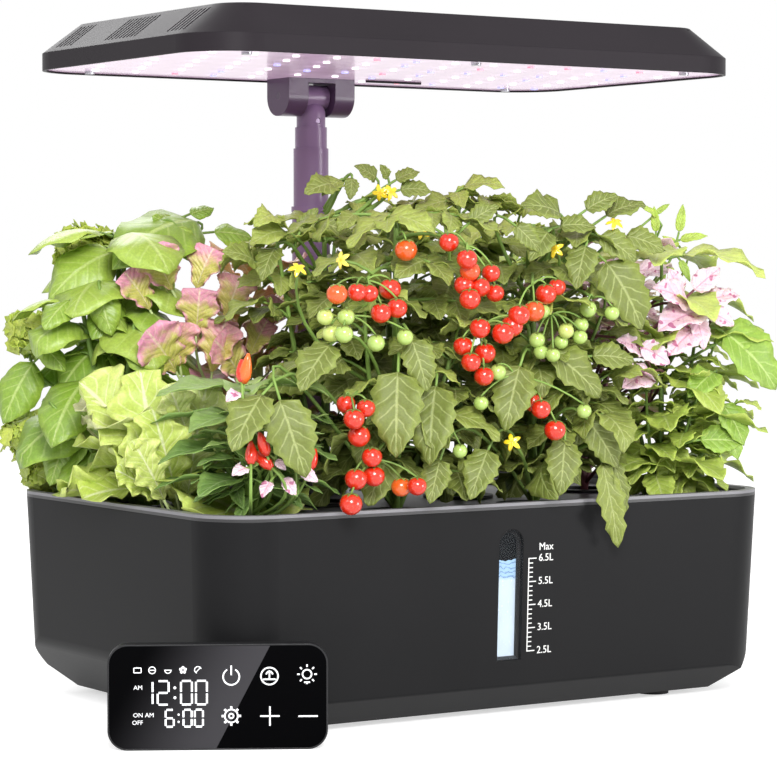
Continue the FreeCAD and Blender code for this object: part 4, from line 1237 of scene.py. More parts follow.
@dataclass(frozen=True)
class SightWindow:
    """The water behind the window and the words of the scale beside it."""

    middle_x: float = -3.9
    half_width: float = 11.0
    low: float = 25.0
    high: float = 101.0
    wall_half: float = 121.4
    wall_top: float = 111.7
    draft: float = 0.037
    behind: float = 4.3
    scale_low: float = 32.2
    litre: float = 12.36
    label_x: float = 14.0
    label_size: float = 5.6
    # Each label: its words, its mark on the scale, and how many letter sizes it stands over that.
    labels: tuple = (
        ("2.5L", 0, 0.0), ("3.5L", 1, 0.0), ("4.5L", 2, 0.0),
        ("5.5L", 3, 0.0), ("6.5L", 4, 0.0), ("Max", 4, 1.05),
    )
    relief: float = 0.2

    def wall(self, z: Array) -> Array:
        """The front wall's y at a height: it leans in by the draft towards the floor."""
        return -(self.wall_half - self.draft * (self.wall_top - z))

    def build(self) -> None:
        """Make both pieces."""
        self._water()
        self._words()

    def _water(self) -> None:
        """A sheet that leans with the wall, a little behind the seal."""
        x, z = np.meshgrid(
            np.linspace(self.middle_x - self.half_width, self.middle_x + self.half_width, 12),
            np.linspace(self.low, self.high, 30),
        )
        points = np.stack([x, self.wall(z) + self.behind, z], -1)
        water = piece("water_view", [Grid(points[None], np.zeros(1))])
        thicken(water, 0.4)
        give(water, WaterFinish().material(), "tank", "window")

    def _words(self) -> None:
        """The litre words, as thin print on the wall, with the last one over its neighbour."""
        upright = Matrix.Rotation(math.pi / 2 + math.atan(self.draft), 4, "X")
        work = bmesh.new()
        for words, step, over in self.labels:
            z = self.scale_low + step * self.litre + over * self.label_size
            place = Vector((self.label_x, self.wall(z) - self.relief / 4, z)) * MM
            letter(work, words, self.label_size, self.relief, 3, Matrix.Translation(place) @ upright)
        bmesh.ops.remove_doubles(work, verts=work.verts, dist=1e-6)
        joined = bpy.data.meshes.new("gauge_words")
        work.to_mesh(joined)
        work.free()
        words = bpy.data.objects.new("gauge_words", joined)
        bpy.context.scene.collection.objects.link(words)
        give(words, FINISHES["white_print"].material(), "tank", "white_print")


class Segments(Enum):
    """The bars of a seven-segment figure, from the top round to the middle."""

    ZERO = "abcdef"
    ONE = "bc"
    TWO = "abdeg"
    SIX = "acdefg"


@dataclass(frozen=True)
class PadFace:
    """The figures and signs on the pad's face, in millimetres from the pad's foot."""

    origin: tuple = (-183.2, -121.7, -3.0)
    turn: float = math.radians(-30.0)
    before: float = 0.12
    relief: float = 0.16
    line: float = 0.75
    # Each figure: which, its left, lower and upper ends, and its width.
    figures: tuple = (
        (Segments.ONE, -37.6, 22.8, 34.5, 5.4), (Segments.TWO, -29.7, 22.8, 34.5, 5.4),
        (Segments.ZERO, -18.2, 22.8, 34.5, 5.4), (Segments.ZERO, -10.8, 22.8, 34.5, 5.4),
        (Segments.SIX, -25.8, 11.8, 20.2, 4.0), (Segments.ZERO, -17.0, 11.8, 20.2, 4.0),
        (Segments.ZERO, -11.4, 11.8, 20.2, 4.0),
    )
    # Bars: both ends. Rings: the middle, the outer radius, and where they start and stop in degrees.
    button_bars: tuple = (
        (6.6, 37.2, 6.6, 42.0), (22.4, 35.0, 28.6, 35.0), (25.5, 35.0, 25.5, 39.4), (42.6, 33.4, 45.6, 33.4),
        (20.9, 16.7, 30.5, 16.7), (25.7, 11.9, 25.7, 21.5), (39.8, 16.5, 49.4, 16.5),
    )
    button_rings: tuple = (
        (6.6, 36.4, 4.4, 120.0, 420.0), (25.5, 36.6, 4.6, 0.0, 360.0), (25.5, 37.4, 1.9, 0.0, 180.0),
        (44.1, 37.4, 2.6, 0.0, 360.0), (6.6, 16.9, 3.6, 0.0, 360.0), (6.6, 16.9, 1.5, 0.0, 360.0),
    )
    state_bars: tuple = (
        (-41.4, 38.7, -37.8, 38.7), (-41.4, 41.1, -37.8, 41.1), (-41.4, 38.7, -41.4, 41.1),
        (-37.8, 38.7, -37.8, 41.1), (-33.6, 39.9, -31.2, 39.9), (-26.4, 39.9, -22.8, 39.9),
        (-11.0, 38.5, -8.4, 41.3),
    )
    state_rings: tuple = (
        (-32.4, 39.9, 1.9, 0.0, 360.0), (-24.6, 39.9, 1.8, 180.0, 360.0), (-9.8, 39.9, 1.9, 20.0, 250.0),
    )
    # Discs: the middle and the radius. Rays: the middle, both ends of one, and its width over a line's.
    discs: tuple = ((-21.2, 26.2, 0.7), (-21.2, 31.1, 0.7), (-19.4, 14.2, 0.55), (-19.4, 17.8, 0.55))
    rays: tuple = ((44.1, 37.4, 3.6, 4.9, 1.0), (6.6, 16.9, 3.4, 4.8, 1.5))
    flower: tuple = (-17.2, 39.9, 1.2, 0.75)
    words: tuple = (("AM", -41.6, 31.2), ("ON", -41.9, 17.5), ("AM", -36.0, 17.5), ("OFF", -42.4, 13.8))
    word_size: float = 3.1

    def _bar(self, row: tuple, width: float) -> Grid:
        """A straight bar.

        Args:
            row: The place and height of one end, and of the other.
            width: The bar's width.

        Returns:
            The bar.
        """
        ends = np.reshape(row, (2, 2))
        run = unit(ends[1] - ends[0])
        side = np.array([-run[1], run[0]]) * width / 2
        return self._placed(np.stack([ends + side, ends - side], 1))

    def _ring(self, row: tuple, width: float) -> Grid:
        """Part of a flat ring, or a disc where it is as wide as its radius.

        Args:
            row: The middle's place and height, the radius, and where it starts and stops in degrees.
            width: The ring's width.

        Returns:
            The ring.
        """
        x, z, radius, start, stop = row
        angle = np.radians(np.linspace(start, stop, max(4, int((stop - start) / 12))))
        way = np.stack([np.cos(angle), np.sin(angle)], -1)
        return self._placed(np.array([x, z]) + np.stack([way * (radius - width), way * radius], 1))

    def _placed(self, flat: Array) -> Grid:
        """Put points of the face's own plane in front of the glass.

        Args:
            flat: Points of shape (along, across, 2), each a place along the face and a height.

        Returns:
            The surface.
        """
        x = flat[..., 0]
        cosine, sine = math.cos(self.turn), math.sin(self.turn)
        place = np.stack([
            self.origin[0] + x * cosine + self.before * sine,
            self.origin[1] + x * sine - self.before * cosine,
            self.origin[2] + flat[..., 1],
        ], -1)
        return Grid(place[None], np.zeros(1))

    def _figure(self, row: tuple) -> list[Grid]:
        """One seven-segment figure.

        Args:
            row: Which it is, its left, lower and upper ends, and its width.

        Returns:
            Its bars.
        """
        which, x, low, high, width = row
        middle = (low + high) / 2
        gap = self.line * 0.6
        ends = {
            "a": (x + gap, high, x + width - gap, high),
            "b": (x + width, high - gap, x + width, middle + gap),
            "c": (x + width, middle - gap, x + width, low + gap),
            "d": (x + gap, low, x + width - gap, low),
            "e": (x, middle - gap, x, low + gap),
            "f": (x, high - gap, x, middle + gap),
            "g": (x + gap, middle, x + width - gap, middle),
        }
        return [self._bar(ends[key], self.line * 1.3) for key in which.value]

    def _signs(self) -> list[Grid]:
        """The clock, the six touch signs and the row of small signs above the clock.

        Returns:
            Their bars, rings and discs.
        """
        grids = [bar for figure in self.figures for bar in self._figure(figure)]
        grids += [self._ring((*disc, 0.0, 360.0), disc[2]) for disc in self.discs]
        thin = self.line * 0.6
        for width, bars, rings in (
            (self.line, self.button_bars, self.button_rings), (thin, self.state_bars, self.state_rings),
        ):
            grids += [self._bar(bar, width) for bar in bars]
            grids += [self._ring(ring, width) for ring in rings]
        for x, z, near, far, wide in self.rays:
            for k in range(8):
                way = np.array([math.cos(math.radians(45.0 * k)), math.sin(math.radians(45.0 * k))])
                grids.append(self._bar(((x, z) + way * near, (x, z) + way * far), self.line * wide))
        x, z, out, radius = self.flower
        for k in range(5):
            way = math.radians(90.0 + 72.0 * k)
            place = (x + out * math.cos(way), z + out * math.sin(way))
            grids.append(self._ring((*place, radius, 0.0, 360.0), radius))
        return grids

    def _frame(self, x: float, z: float) -> Matrix:
        """The turn and place of upright words on the face.

        Args:
            x: Their place along the face.
            z: Their height.

        Returns:
            The turn and place, in metres.
        """
        point = self._placed(np.array([[[x, z]]])).points[0, 0, 0] * MM
        turn = Matrix.Rotation(self.turn, 4, "Z") @ Matrix.Rotation(math.pi / 2, 4, "X")
        return Matrix.Translation(Vector(point)) @ turn

    def build(self) -> None:
        """Make the figures and signs as one thin piece."""
        print_piece = piece("pad_signs", self._signs(), smooth=False)
        work = bmesh.new()
        work.from_mesh(print_piece.data)
        bmesh.ops.recalc_face_normals(work, faces=work.faces)
        out = Vector((math.sin(self.turn), -math.cos(self.turn), 0.0))
        turned = [f for f in work.faces if f.normal.dot(out) < 0]
        bmesh.ops.reverse_faces(work, faces=turned)
        walls = bmesh.ops.extrude_face_region(work, geom=work.faces[:])
        raised = [v for v in walls["geom"] if isinstance(v, bmesh.types.BMVert)]
        bmesh.ops.translate(work, verts=raised, vec=out * self.relief * MM)
        for words, x, z in self.words:
            letter(work, words, self.word_size, self.relief, 2, self._frame(x, z))
        bmesh.ops.remove_doubles(work, verts=work.verts, dist=1e-6)
        bmesh.ops.recalc_face_normals(work, faces=work.faces)
        work.to_mesh(print_piece.data)
        work.free()
        tree = Tree("pad figures")
        soft = tree.noise(tree.place(), 500.0)
        finish = tree.finish({
            "Base Color": tree.mix(soft, srgb("e4e4e6"), srgb("f6f6f8")),
            "Roughness": 0.3,
            "Emission Color": (0.75, 0.76, 0.8),
            "Emission Strength": 0.35,
        })
        give(print_piece, finish, "pad", "white_print")


# The plants


UP = np.array([0.0, 0.0, 1.0])
TO_EYE = unit(np.array([-0.55, -0.83, 0.0]))
STALK_STATIONS = 7
STEM_STATIONS = 14
POD_RADIUS = 17.0
POD_TOP = ROOM.rim + 5
SPONGE_TOP = 104.7


def between(ends: tuple, share: Array) -> Array:
    """Values between two ends, at shares of the way."""
    return ends[0] + (ends[1] - ends[0]) * share


@dataclass(frozen=True)
class Spread:
    """How leaflets leave a stalk: along it, down, how loosely, and the ranges of their size and turn."""

    forward: float
    sag: float
    loose: float
    size: tuple
    turn: tuple


ON_SHOOT = Spread(0.5, 0.25, 1.0, (0.85, 1.1), (0.4, 1.1))
ON_FRAME = Spread(0.55, 0.2, 0.6, (0.85, 1.15), (0.3, 0.8))


@dataclass(frozen=True)
class Habit:
    """How a shoot carries its leaves, from its foot to its tip, with lengths in millimetres."""

    blade: Blade
    leaves: int
    length: tuple
    stalk: tuple = (8.0, 3.0)
    pitch: tuple = (0.1, 0.9)
    bend: float = 0.9
    paired: bool = False
    first: float = 0.2
    leaflets: tuple = ()
    loose: float = 0.3
    stalk_radius: float = 0.8
    tint: tuple = (0.1, 0.8)
    droop: tuple = (0.0, 0.35)

    def grow(self, path: Array, rng: np.random.Generator, phase: float = 0.0) -> tuple[Grid, list[Grid]]:
        """Leaves and their stalks along one shoot.

        Leaf i leaves the shoot at a share that rises evenly, at i golden angles round it, or at a
        right angle to the pair below where the leaves come in pairs. A stalk is an arc, and its blade
        goes on from its end. Leaflets leave the stalk in pairs on the way, half forwards and half to
        the side.

        Args:
            path: The shoot's points.
            rng: The plant's own random numbers.
            phase: Turn of the first leaf.

        Returns:
            The stalks, and the blades.
        """
        count = self.leaves
        order = np.arange(count)
        step = order // 2 * 2 if self.paired else order
        share = step / max(count - 1, 1)
        at = (self.first + (1 - self.first) * share) * (len(path) - 1)
        base = np.stack([np.interp(at, np.arange(len(path)), path[:, i]) for i in range(3)], -1)
        if self.paired:
            heading = step / 2 * np.pi / 2 + (order % 2) * np.pi
        else:
            heading = order * GOLDEN_ANGLE
        heading = heading + phase + rng.normal(0, 0.22, count)
        pitch = between(self.pitch, share) + rng.normal(0, 0.13, count)
        size = rng.uniform(0.82, 1.14, count)
        length = between(self.length, share) * size
        tint = np.clip(between(self.tint, share) + rng.normal(0, 0.1, count), 0, 1)
        face = UP + rng.normal(0, self.loose * 0.3, (count, 3))
        turn = np.full(count, self.bend * 0.45)
        arc = arcs(base, bearing(heading, pitch), face, between(self.stalk, share) * size, turn, STALK_STATIONS)
        points, tangents, _, normals = arc
        faces = normals[:, -1] + rng.normal(0, self.loose, (count, 3))
        bends = self.bend * rng.uniform(0.6, 1.2, count)
        blades = [self.blade.grid(points[:, -1], tangents[:, -1], faces, length, bends, tint)]
        return self._stalks(points, 0.55, tint), blades + self._leaflets(arc, length, tint, rng, ON_SHOOT)

    def _stalks(self, points: Array, thin: float, tint: Array) -> Grid:
        """Stalks along arcs, which narrow towards the blades."""
        radii = self.stalk_radius * np.linspace(1.0, thin, STALK_STATIONS) * np.ones((len(points), 1))
        return tubes(ROOM.hold(points), radii, 6, tint)

    def _leaflets(
        self, arc: tuple, reach: Array, tint: Array, rng: np.random.Generator, spread: Spread,
    ) -> list[Grid]:
        """The pairs of leaflets along stalks.

        Args:
            arc: The stalks' points, tangents, sides and normals.
            reach: How long a whole leaflet is on each.
            tint: One value for each stalk.
            rng: The plant's own random numbers.
            spread: How the leaflets stand.

        Returns:
            The leaflets.
        """
        points, tangents, sides, normals = arc
        count = len(points)
        blades = []
        for place, part in self.leaflets:
            at = int(round(place * (STALK_STATIONS - 1)))
            for way in (-1.0, 1.0):
                sag = UP * rng.uniform(0, spread.sag, (count, 1))
                off = tangents[:, at] * spread.forward + way * sides * 0.85 - sag
                faces = normals[:, at] + rng.normal(0, self.loose * spread.loose, (count, 3))
                lengths = reach * part * rng.uniform(*spread.size, count)
                turns = self.bend * rng.uniform(*spread.turn, count)
                blades.append(self.blade.grid(points[:, at], off, faces, lengths, turns, tint))
        return blades

    def clothe(self, leaves: "FrameLeaves", rng: np.random.Generator) -> tuple[Grid, list[Grid]]:
        """Dress each leaf of the frame: a stalk along its first part, and blades over the rest.

        A leaf with leaflets has its stalk along 0.6 of the arc, an end leaflet that goes on to the
        tip, and pairs that reach out to the leaf's own sides. Any other leaf is one blade as wide as
        the frame's.

        Args:
            leaves: The leaves as the frame has them.
            rng: The plant's own random numbers.

        Returns:
            The stalks, and the blades.
        """
        count = len(leaves.length)
        share = (0.6 if self.leaflets else 0.16) * rng.uniform(0.9, 1.1, count)
        run = bearing(leaves.heading + rng.normal(0, 0.05, count), leaves.pitch + rng.normal(0, 0.05, count))
        face = UP + rng.normal(0, self.loose * 0.2, (count, 3))
        tint = np.clip(between(self.tint, leaves.rise) + rng.normal(0, 0.12, count), 0, 1)
        arc = arcs(leaves.base, run, face, leaves.length * share, leaves.bend * share, STALK_STATIONS)
        points, tangents, _, normals = arc
        faces = normals[:, -1] + rng.normal(0, self.loose * 0.4, (count, 3))
        rest = leaves.length * (1 - share) * rng.uniform(0.95, 1.08, count)
        bends = leaves.bend * (1 - share) + rng.uniform(*self.droop, count)
        wide = None if self.leaflets else leaves.half * 2.1 / rest
        blades = [self.blade.grid(points[:, -1], tangents[:, -1], faces, rest, bends, tint, wide)]
        leaflets = self._leaflets(arc, leaves.half * 1.75, tint, rng, ON_FRAME)
        return self._stalks(points, 0.6, tint), blades + leaflets


@dataclass(frozen=True)
class FrameLeaves:
    """The leaves of one of the frame's plants, one value each, in millimetres."""

    base: Array
    heading: Array
    pitch: Array
    length: Array
    bend: Array
    half: Array
    rise: Array

    @staticmethod
    def read(number: int, foot: Array) -> "FrameLeaves":
        """Find the leaves in a copy of a plant's mesh.

        A leaf is a separate strip of five bands of four points. Its heading is its middle's. The
        highest points of the bands lie on a curve whose height is a quadratic of the distance, and
        its slopes at both ends give the pitch and the bend.

        Args:
            number: The plant's number.
            foot: The foot of its stem.

        Returns:
            The leaves.
        """
        bands_of = (5, 4)
        work = bmesh.new()
        work.from_mesh(frame["nodes"][f"plant_{number}"].data)
        bmesh.ops.remove_doubles(work, verts=work.verts, dist=1e-6)
        rows = []
        seen = set()
        for start in work.verts:
            if start in seen:
                continue
            group = [start]
            seen.add(start)
            for vert in group:
                for edge in vert.link_edges:
                    other = edge.other_vert(vert)
                    if other not in seen:
                        seen.add(other)
                        group.append(other)
            if len(group) == math.prod(bands_of):
                rows.append(np.array([v.co[:] for v in group]) / MM)
        work.free()
        strips = np.array(rows)
        off = strips - foot
        heading = np.arctan2(off[..., 1].mean(1), off[..., 0].mean(1))
        cosine, sine = np.cos(heading), np.sin(heading)
        away = off[..., 0] * cosine[:, None] + off[..., 1] * sine[:, None]
        across = off[..., 1] * cosine[:, None] - off[..., 0] * sine[:, None]
        order = np.argsort(away, axis=1)
        bands = np.take_along_axis(away, order, 1).reshape(-1, *bands_of).mean(2)
        tops = np.take_along_axis(strips[..., 2], order, 1).reshape(-1, *bands_of).max(2)
        fits = np.array([np.polyfit(d, z, 2) for d, z in zip(bands, tops)])
        first = np.arctan(fits[:, 1] + 2 * fits[:, 0] * bands[:, 0])
        last = np.arctan(fits[:, 1] + 2 * fits[:, 0] * bands[:, -1])
        length = np.hypot(np.diff(bands, axis=1), np.diff(tops, axis=1)).sum(1)
        base = np.stack([foot[0] + bands[:, 0] * cosine, foot[1] + bands[:, 0] * sine, tops[:, 0]], -1)
        rise = (base[:, 2] - base[:, 2].min()) / max(np.ptp(base[:, 2]), 1.0)
        return FrameLeaves(base, heading, first, length, first - last, np.abs(across).max(1), rise)


class Part(Enum):
    """What a plant is made of, with the record's slot that goes with a shared part."""

    LEAF = "leaf"
    SECOND = "second"
    STEM = "stem"
    RIPE = "ripe_fruit"
    GREEN = "green_fruit"
    FLOWER = "flower"


LEAVES = {
    "tomato": LeafFinish(
        "tomato leaf", srgb("6f7a34"), srgb("7f8b3c"), srgb("aab757"), srgb("b4bd7c"),
        side_veins=6.0, pucker=0.9, vein_strength=0.8, roughness=0.55,
    ),
    "basil": LeafFinish(
        "basil leaf", srgb("7fa036"), srgb("94b440"), srgb("bccf60"), srgb("c6d888"),
        side_veins=6.0, pucker=0.7, roughness=0.36,
    ),
    "parsley": LeafFinish(
        "parsley leaf", srgb("98ac3c"), srgb("a9bc46"), srgb("c8d45c"), srgb("c6d47c"), side_veins=3.0,
    ),
    "pale lettuce": LeafFinish(
        "pale lettuce leaf", srgb("b3c658"), srgb("c4d46c"), srgb("ebe9bc"), srgb("eef0cc"),
        side_veins=9.0, vein_strength=0.5, pucker=0.8, edge_start=0.4, roughness=0.42,
    ),
    "red lettuce": LeafFinish(
        "red-edged lettuce leaf", srgb("c9c766"), srgb("dd92b0"), srgb("e2a878"), srgb("f0e0c0"),
        side_veins=9.0, pucker=0.8, edge_start=0.7, tip_start=0.55, roughness=0.42,
    ),
    "pepper": LeafFinish(
        "pepper leaf", srgb("6b8a44"), srgb("7f9e50"), srgb("a9c070"), srgb("abc487"), side_veins=6.0,
    ),
    "pink": LeafFinish(
        "pale pink leaf", srgb("f0c6d4"), srgb("f3d8e0"), srgb("f8e6ea"), srgb("c47a9c"),
        side_veins=5.0, spots=0.85, spot_colour=srgb("a8507c"),
    ),
    "mint": LeafFinish(
        "mint leaf", srgb("a2b64e"), srgb("b3c659"), srgb("cddb74"), srgb("d0dc94"), side_veins=7.0, pucker=0.9,
    ),
    "coleus": LeafFinish(
        "coleus leaf", srgb("c49a86"), srgb("adb862"), srgb("f2ccd6"), srgb("dcaabc"),
        side_veins=6.0, edge_start=0.4, pucker=0.8,
    ),
    "herb": LeafFinish(
        "herb leaf", srgb("86a640"), srgb("98b84a"), srgb("c4dc5c"), srgb("c8dc8c"), side_veins=6.0,
    ),
}
STEMS = {
    "green": Moulding("green stem", srgb("7c9a4b"), 0.5, 0.5, 0.3, 0.25, 0.1),
    "pale": Moulding("pale stem", srgb("b9c98a"), 0.5, 0.5, 0.3, 0.2, 0.1),
    "wine": Moulding("wine-red stem", srgb("7a4a52"), 0.5, 0.5, 0.3, 0.25, 0.1),
}
FRUIT = {
    Part.RIPE: Skin("ripe skin", srgb("c8391b"), srgb("d3280f"), srgb("e8661c")),
    Part.GREEN: Skin("green skin", srgb("8fb04a"), srgb("a9c466"), srgb("c6cf72")),
    Part.FLOWER: Skin("yellow petal", srgb("e0b81c"), srgb("f2d22c"), srgb("f7e05a")),
}
BROAD = Blade(0.62, 0.55, 0.95, 0.05, 0.22, 0.05, 2.5)
LEAFLET = Blade(0.6, 0.5, 0.9, 0.09, 0.18, 0.06, 2.0)
SPOON = Blade(0.66, 0.6, 0.85, 0.015, -0.28, 0.04, 2.0)
NARROW = Blade(0.34, 0.5, 0.9, 0.04, 0.25, 0.03, 2.0)
LONG_LEAF = Blade(0.3, 0.6, 0.8, 0.14, 0.25, 0.05, 2.5)
FRILL = Blade(0.8, 0.95, 0.26, 0.02, 0.3, 0.05, 4.5, 33, 11, 0.16, 2.5)
TONGUE = Blade(0.5, 0.7, 0.28, 0.02, 0.25, 0.034, 6.5, 39, 11, 0.3, 3.0)
TINY = Blade(0.85, 0.5, 0.45, 0.2, 0.3, 0.06, 1.5, 7, 5)
SEPAL = Blade(0.3, 0.5, 0.9, 0.0, 0.1, 0.0, 1.0, 5, 3)
PETAL = Blade(0.45, 0.6, 0.8, 0.0, 0.2, 0.03, 1.0, 6, 5)


@cache
def made(finish: Any) -> bpy.types.Material:
    """The material of a finish, built the first time that it is asked for."""
    return finish.material()


@dataclass
class Plant:
    """One plant: its pod, the finish of its leaves, and what has grown on it so far."""

    number: int
    leaf: str
    slot: str
    second: str = "pink"
    stem: str = "green"
    grown: dict = field(default_factory=dict)

    def __post_init__(self) -> None:
        """Find the pod's middle and start the plant's random numbers."""
        low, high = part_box(f"pod_basket_{self.number}")
        middle = (low + high) / 2 / MM
        self.foot = np.array([middle.x, middle.y, SPONGE_TOP])
        self.rng = np.random.default_rng(100 + self.number)

    def add(self, part: Part, *grids: Grid) -> None:
        """Keep grids under the part that they belong to."""
        self.grown.setdefault(part, []).extend(grids)

    def shoot(
        self, lean: tuple, height: float, radius: float, bow: float = 6.0, root: tuple = (0.0, 0.0),
    ) -> Array:
        """A stem from the pod to a tip, with its points handed back.

        Args:
            lean: How far the tip stands right of and behind the pod.
            height: The tip's height above the table's origin.
            radius: The stem's radius at its foot.
            bow: How far its middle bows out at most.
            root: How far its foot stands from the pod's middle.

        Returns:
            Points along the stem.
        """
        start = self.foot + np.array([*root, 0.0])
        end = np.array([self.foot[0] + lean[0], self.foot[1] + lean[1], height])
        middle = (start + end) / 2 + np.append(self.rng.uniform(-bow, bow, 2), 0)
        path = self._beside_pole(curve(start[None], middle[None], end[None], STEM_STATIONS))
        radii = radius * np.linspace(1.0, 0.45, STEM_STATIONS)[None]
        self.add(Part.STEM, tubes(path, radii, 9, np.array([0.3])))
        return path[0]

    def _beside_pole(self, points: Array) -> Array:
        """Keep a stem beside the pole and over the rim, with its foot left in its pod.

        Args:
            points: The stem's points.

        Returns:
            The points where they can be.
        """
        from_foot = np.hypot(points[..., 0] - self.foot[0], points[..., 1] - self.foot[1])
        in_pod = (from_foot < POD_RADIUS) & (points[..., 2] < POD_TOP)
        return np.where(in_pod[..., None], points, ROOM.hold(points))

    def leafy(self, path: Array, habit: Habit, part: Part = Part.LEAF, phase: float = 0.0) -> None:
        """Put a habit's leaves on a shoot.

        Args:
            path: The shoot's points.
            habit: How it carries leaves.
            part: Which finish the leaves take.
            phase: Turn of the first leaf.
        """
        stalks, blades = habit.grow(path, self.rng, phase)
        self.add(Part.STEM, stalks)
        self.add(part, *(ROOM.clear(b) for b in blades))

    def clothe(self, habit: Habit, radius: float = 2.8) -> None:
        """Dress the plant's main stem and the leaves that the frame has on it.

        Args:
            habit: How it carries leaves.
            radius: The stem's radius at its foot.
        """
        leaves = FrameLeaves.read(self.number, self.foot)
        self.shoot((0.0, 0.0), float(leaves.base[:, 2].max()) + 3.0, radius, 0.6)
        stalks, blades = habit.clothe(leaves, self.rng)
        self.add(Part.STEM, stalks)
        self.add(Part.LEAF, *(ROOM.clear(b) for b in blades))

    def seen(
        self, rows: tuple, blade: Blade, part: Part = Part.LEAF, tint: float = 0.5, over_edge: bool = False,
    ) -> None:
        """Leaves placed as the photograph shows them, on stalks from the plant's own stem.

        Each row gives the root's pixel, the tip's pixel, and how far before the pod's row the root
        and the tip are.

        Args:
            rows: Rows of x0, y0, x1, y1, root before, tip before, bend.
            blade: Their form.
            part: Which finish they take.
            tint: Their tint.
            over_edge: Whether they hang down before the tank's wall.
        """
        data = np.array(rows, float)
        base = SIGHT.at(data[:, 0:2], self.foot[1] - data[:, 4])
        tip = SIGHT.at(data[:, 2:4], self.foot[1] - data[:, 5])
        base = ROOM.hold(base)
        tip = tip if over_edge else ROOM.hold(tip)
        chord = tip - base
        straight = np.linalg.norm(chord, axis=1)
        bend = data[:, 6]
        face = UP * 0.55 + TO_EYE * 0.85 + self.rng.normal(0, 0.12, base.shape)
        side = unit(np.cross(chord, face))
        lift = np.cross(side, unit(chord))
        half = bend[:, None] / 2
        run = unit(chord) * np.cos(half) + lift * np.sin(half)
        length = straight * np.where(bend == 0, 1, (bend / 2) / np.sin(np.maximum(bend / 2, 1e-6)))
        tints = np.clip(tint + self.rng.normal(0, 0.08, len(base)), 0, 1)
        grid = blade.grid(base, run, face, length, bend, tints)
        self.add(part, grid if over_edge else ROOM.clear(grid))
        self.stalks(base, run, tints)

    def stalks(self, tops: Array, run: Array, tints: Array) -> None:
        """Stalks from the stem's axis to where leaves start.

        Args:
            tops: Where the leaves start.
            run: The ways they go.
            tints: One value for each.
        """
        away = np.hypot(tops[:, 0] - self.foot[0], tops[:, 1] - self.foot[1])
        low = np.maximum(tops[:, 2] - 0.55 * away - 6, 106.0)
        start = np.stack([0 * low + self.foot[0], 0 * low + self.foot[1], low], -1)
        middle = tops - unit(run) * np.linalg.norm(tops - start, axis=1)[:, None] * 0.45
        path = self._beside_pole(curve(start, middle, tops, 9))
        self.add(Part.STEM, tubes(path, np.linspace(1.2, 0.7, 9) * np.ones((len(tops), 1)), 6, tints))

    def truss(self, part: Part, pixels: tuple, before: float, radius: float) -> None:
        """A bunch of fruit placed as the photograph shows it, on one branching stalk.

        Args:
            part: Ripe or green.
            pixels: The middle of each fruit, in the photograph's pixels.
            before: How far the bunch hangs before the pod's row.
            radius: The fruit's radius.
        """
        count = len(pixels)
        depth = self.foot[1] - before + self.rng.uniform(-7, 7, count)
        centres = ROOM.hold(SIGHT.at(np.array(pixels), depth))
        radii = radius * self.rng.uniform(0.88, 1.1, count)
        tint = self.rng.uniform(0, 1, count) ** 1.6
        self.add(part, balls(centres, radii, tint))
        hub = centres.mean(0) + np.array([0, 6.0, radius * 1.6])
        hub[2] = max(hub[2], centres[:, 2].max() - 2)
        start = np.array([[self.foot[0], self.foot[1], min(hub[2] + 4, ROOM.roof)]])
        path = curve(start, (start + hub) / 2 + UP * 9, hub[None], 9)
        self.add(Part.STEM, tubes(path, np.linspace(1.1, 0.8, 9)[None], 6, np.array([0.4])))
        tops = centres + UP * radii[:, None] * 0.86
        hubs = np.repeat(hub[None], count, 0)
        middles = (hubs + tops) / 2 + UP * 5
        self.add(Part.STEM, tubes(curve(hubs, middles, tops, 6), np.full((count, 6), 0.55), 5, tint))
        for k in range(5):
            angle = np.full(count, 2 * np.pi * k / 5) + tint
            way = bearing(angle, np.full(count, 0.15))
            sepals = SEPAL.grid(tops, way, way * 0.2 + UP, radii * 0.85, np.full(count, 0.9), tint)
            self.add(Part.LEAF, sepals)

    def flowers(self, pixels: tuple, before: float) -> None:
        """Small five-petalled flowers where the photograph shows them.

        Args:
            pixels: The middle of each flower.
            before: How far they stand before the pod's row.
        """
        size = np.full(len(pixels), 5.5)
        bend = np.full(len(pixels), 0.7)
        count = len(pixels)
        centres = ROOM.hold(SIGHT.at(np.array(pixels), np.full(count, self.foot[1] - before)))
        facing = unit(TO_EYE + UP * 0.4 + self.rng.normal(0, 0.3, (count, 3)))
        one = unit(np.cross(facing, UP))
        two = np.cross(one, facing)
        tint = self.rng.uniform(0, 1, count)
        for k in range(5):
            angle = 2 * np.pi * k / 5
            way = one * math.cos(angle) + two * math.sin(angle)
            self.add(Part.FLOWER, PETAL.grid(centres, way, facing, size, bend, tint))
        self.stalks(centres, facing, tint)

    def build(self) -> None:
        """Make the plant's pieces from what has grown."""
        finishes = {
            Part.LEAF: (LEAVES[self.leaf], self.slot, 0.35),
            Part.SECOND: (LEAVES[self.second], self.slot, 0.35),
            Part.STEM: (STEMS[self.stem], "stem", 0.0),
            Part.RIPE: (FRUIT[Part.RIPE], "ripe_fruit", 0.0),
            Part.GREEN: (FRUIT[Part.GREEN], "green_fruit", 0.0),
            Part.FLOWER: (FRUIT[Part.FLOWER], "flower", 0.25),
        }
        for part, grids in self.grown.items():
            finish, slot, thickness = finishes[part]
            thing = piece(f"plant_{self.number}_{part.name.lower()}", grids)
            if thickness:
                thicken(thing, thickness)
            give(thing, made(finish), "deck", slot, f"plant_{self.number}")


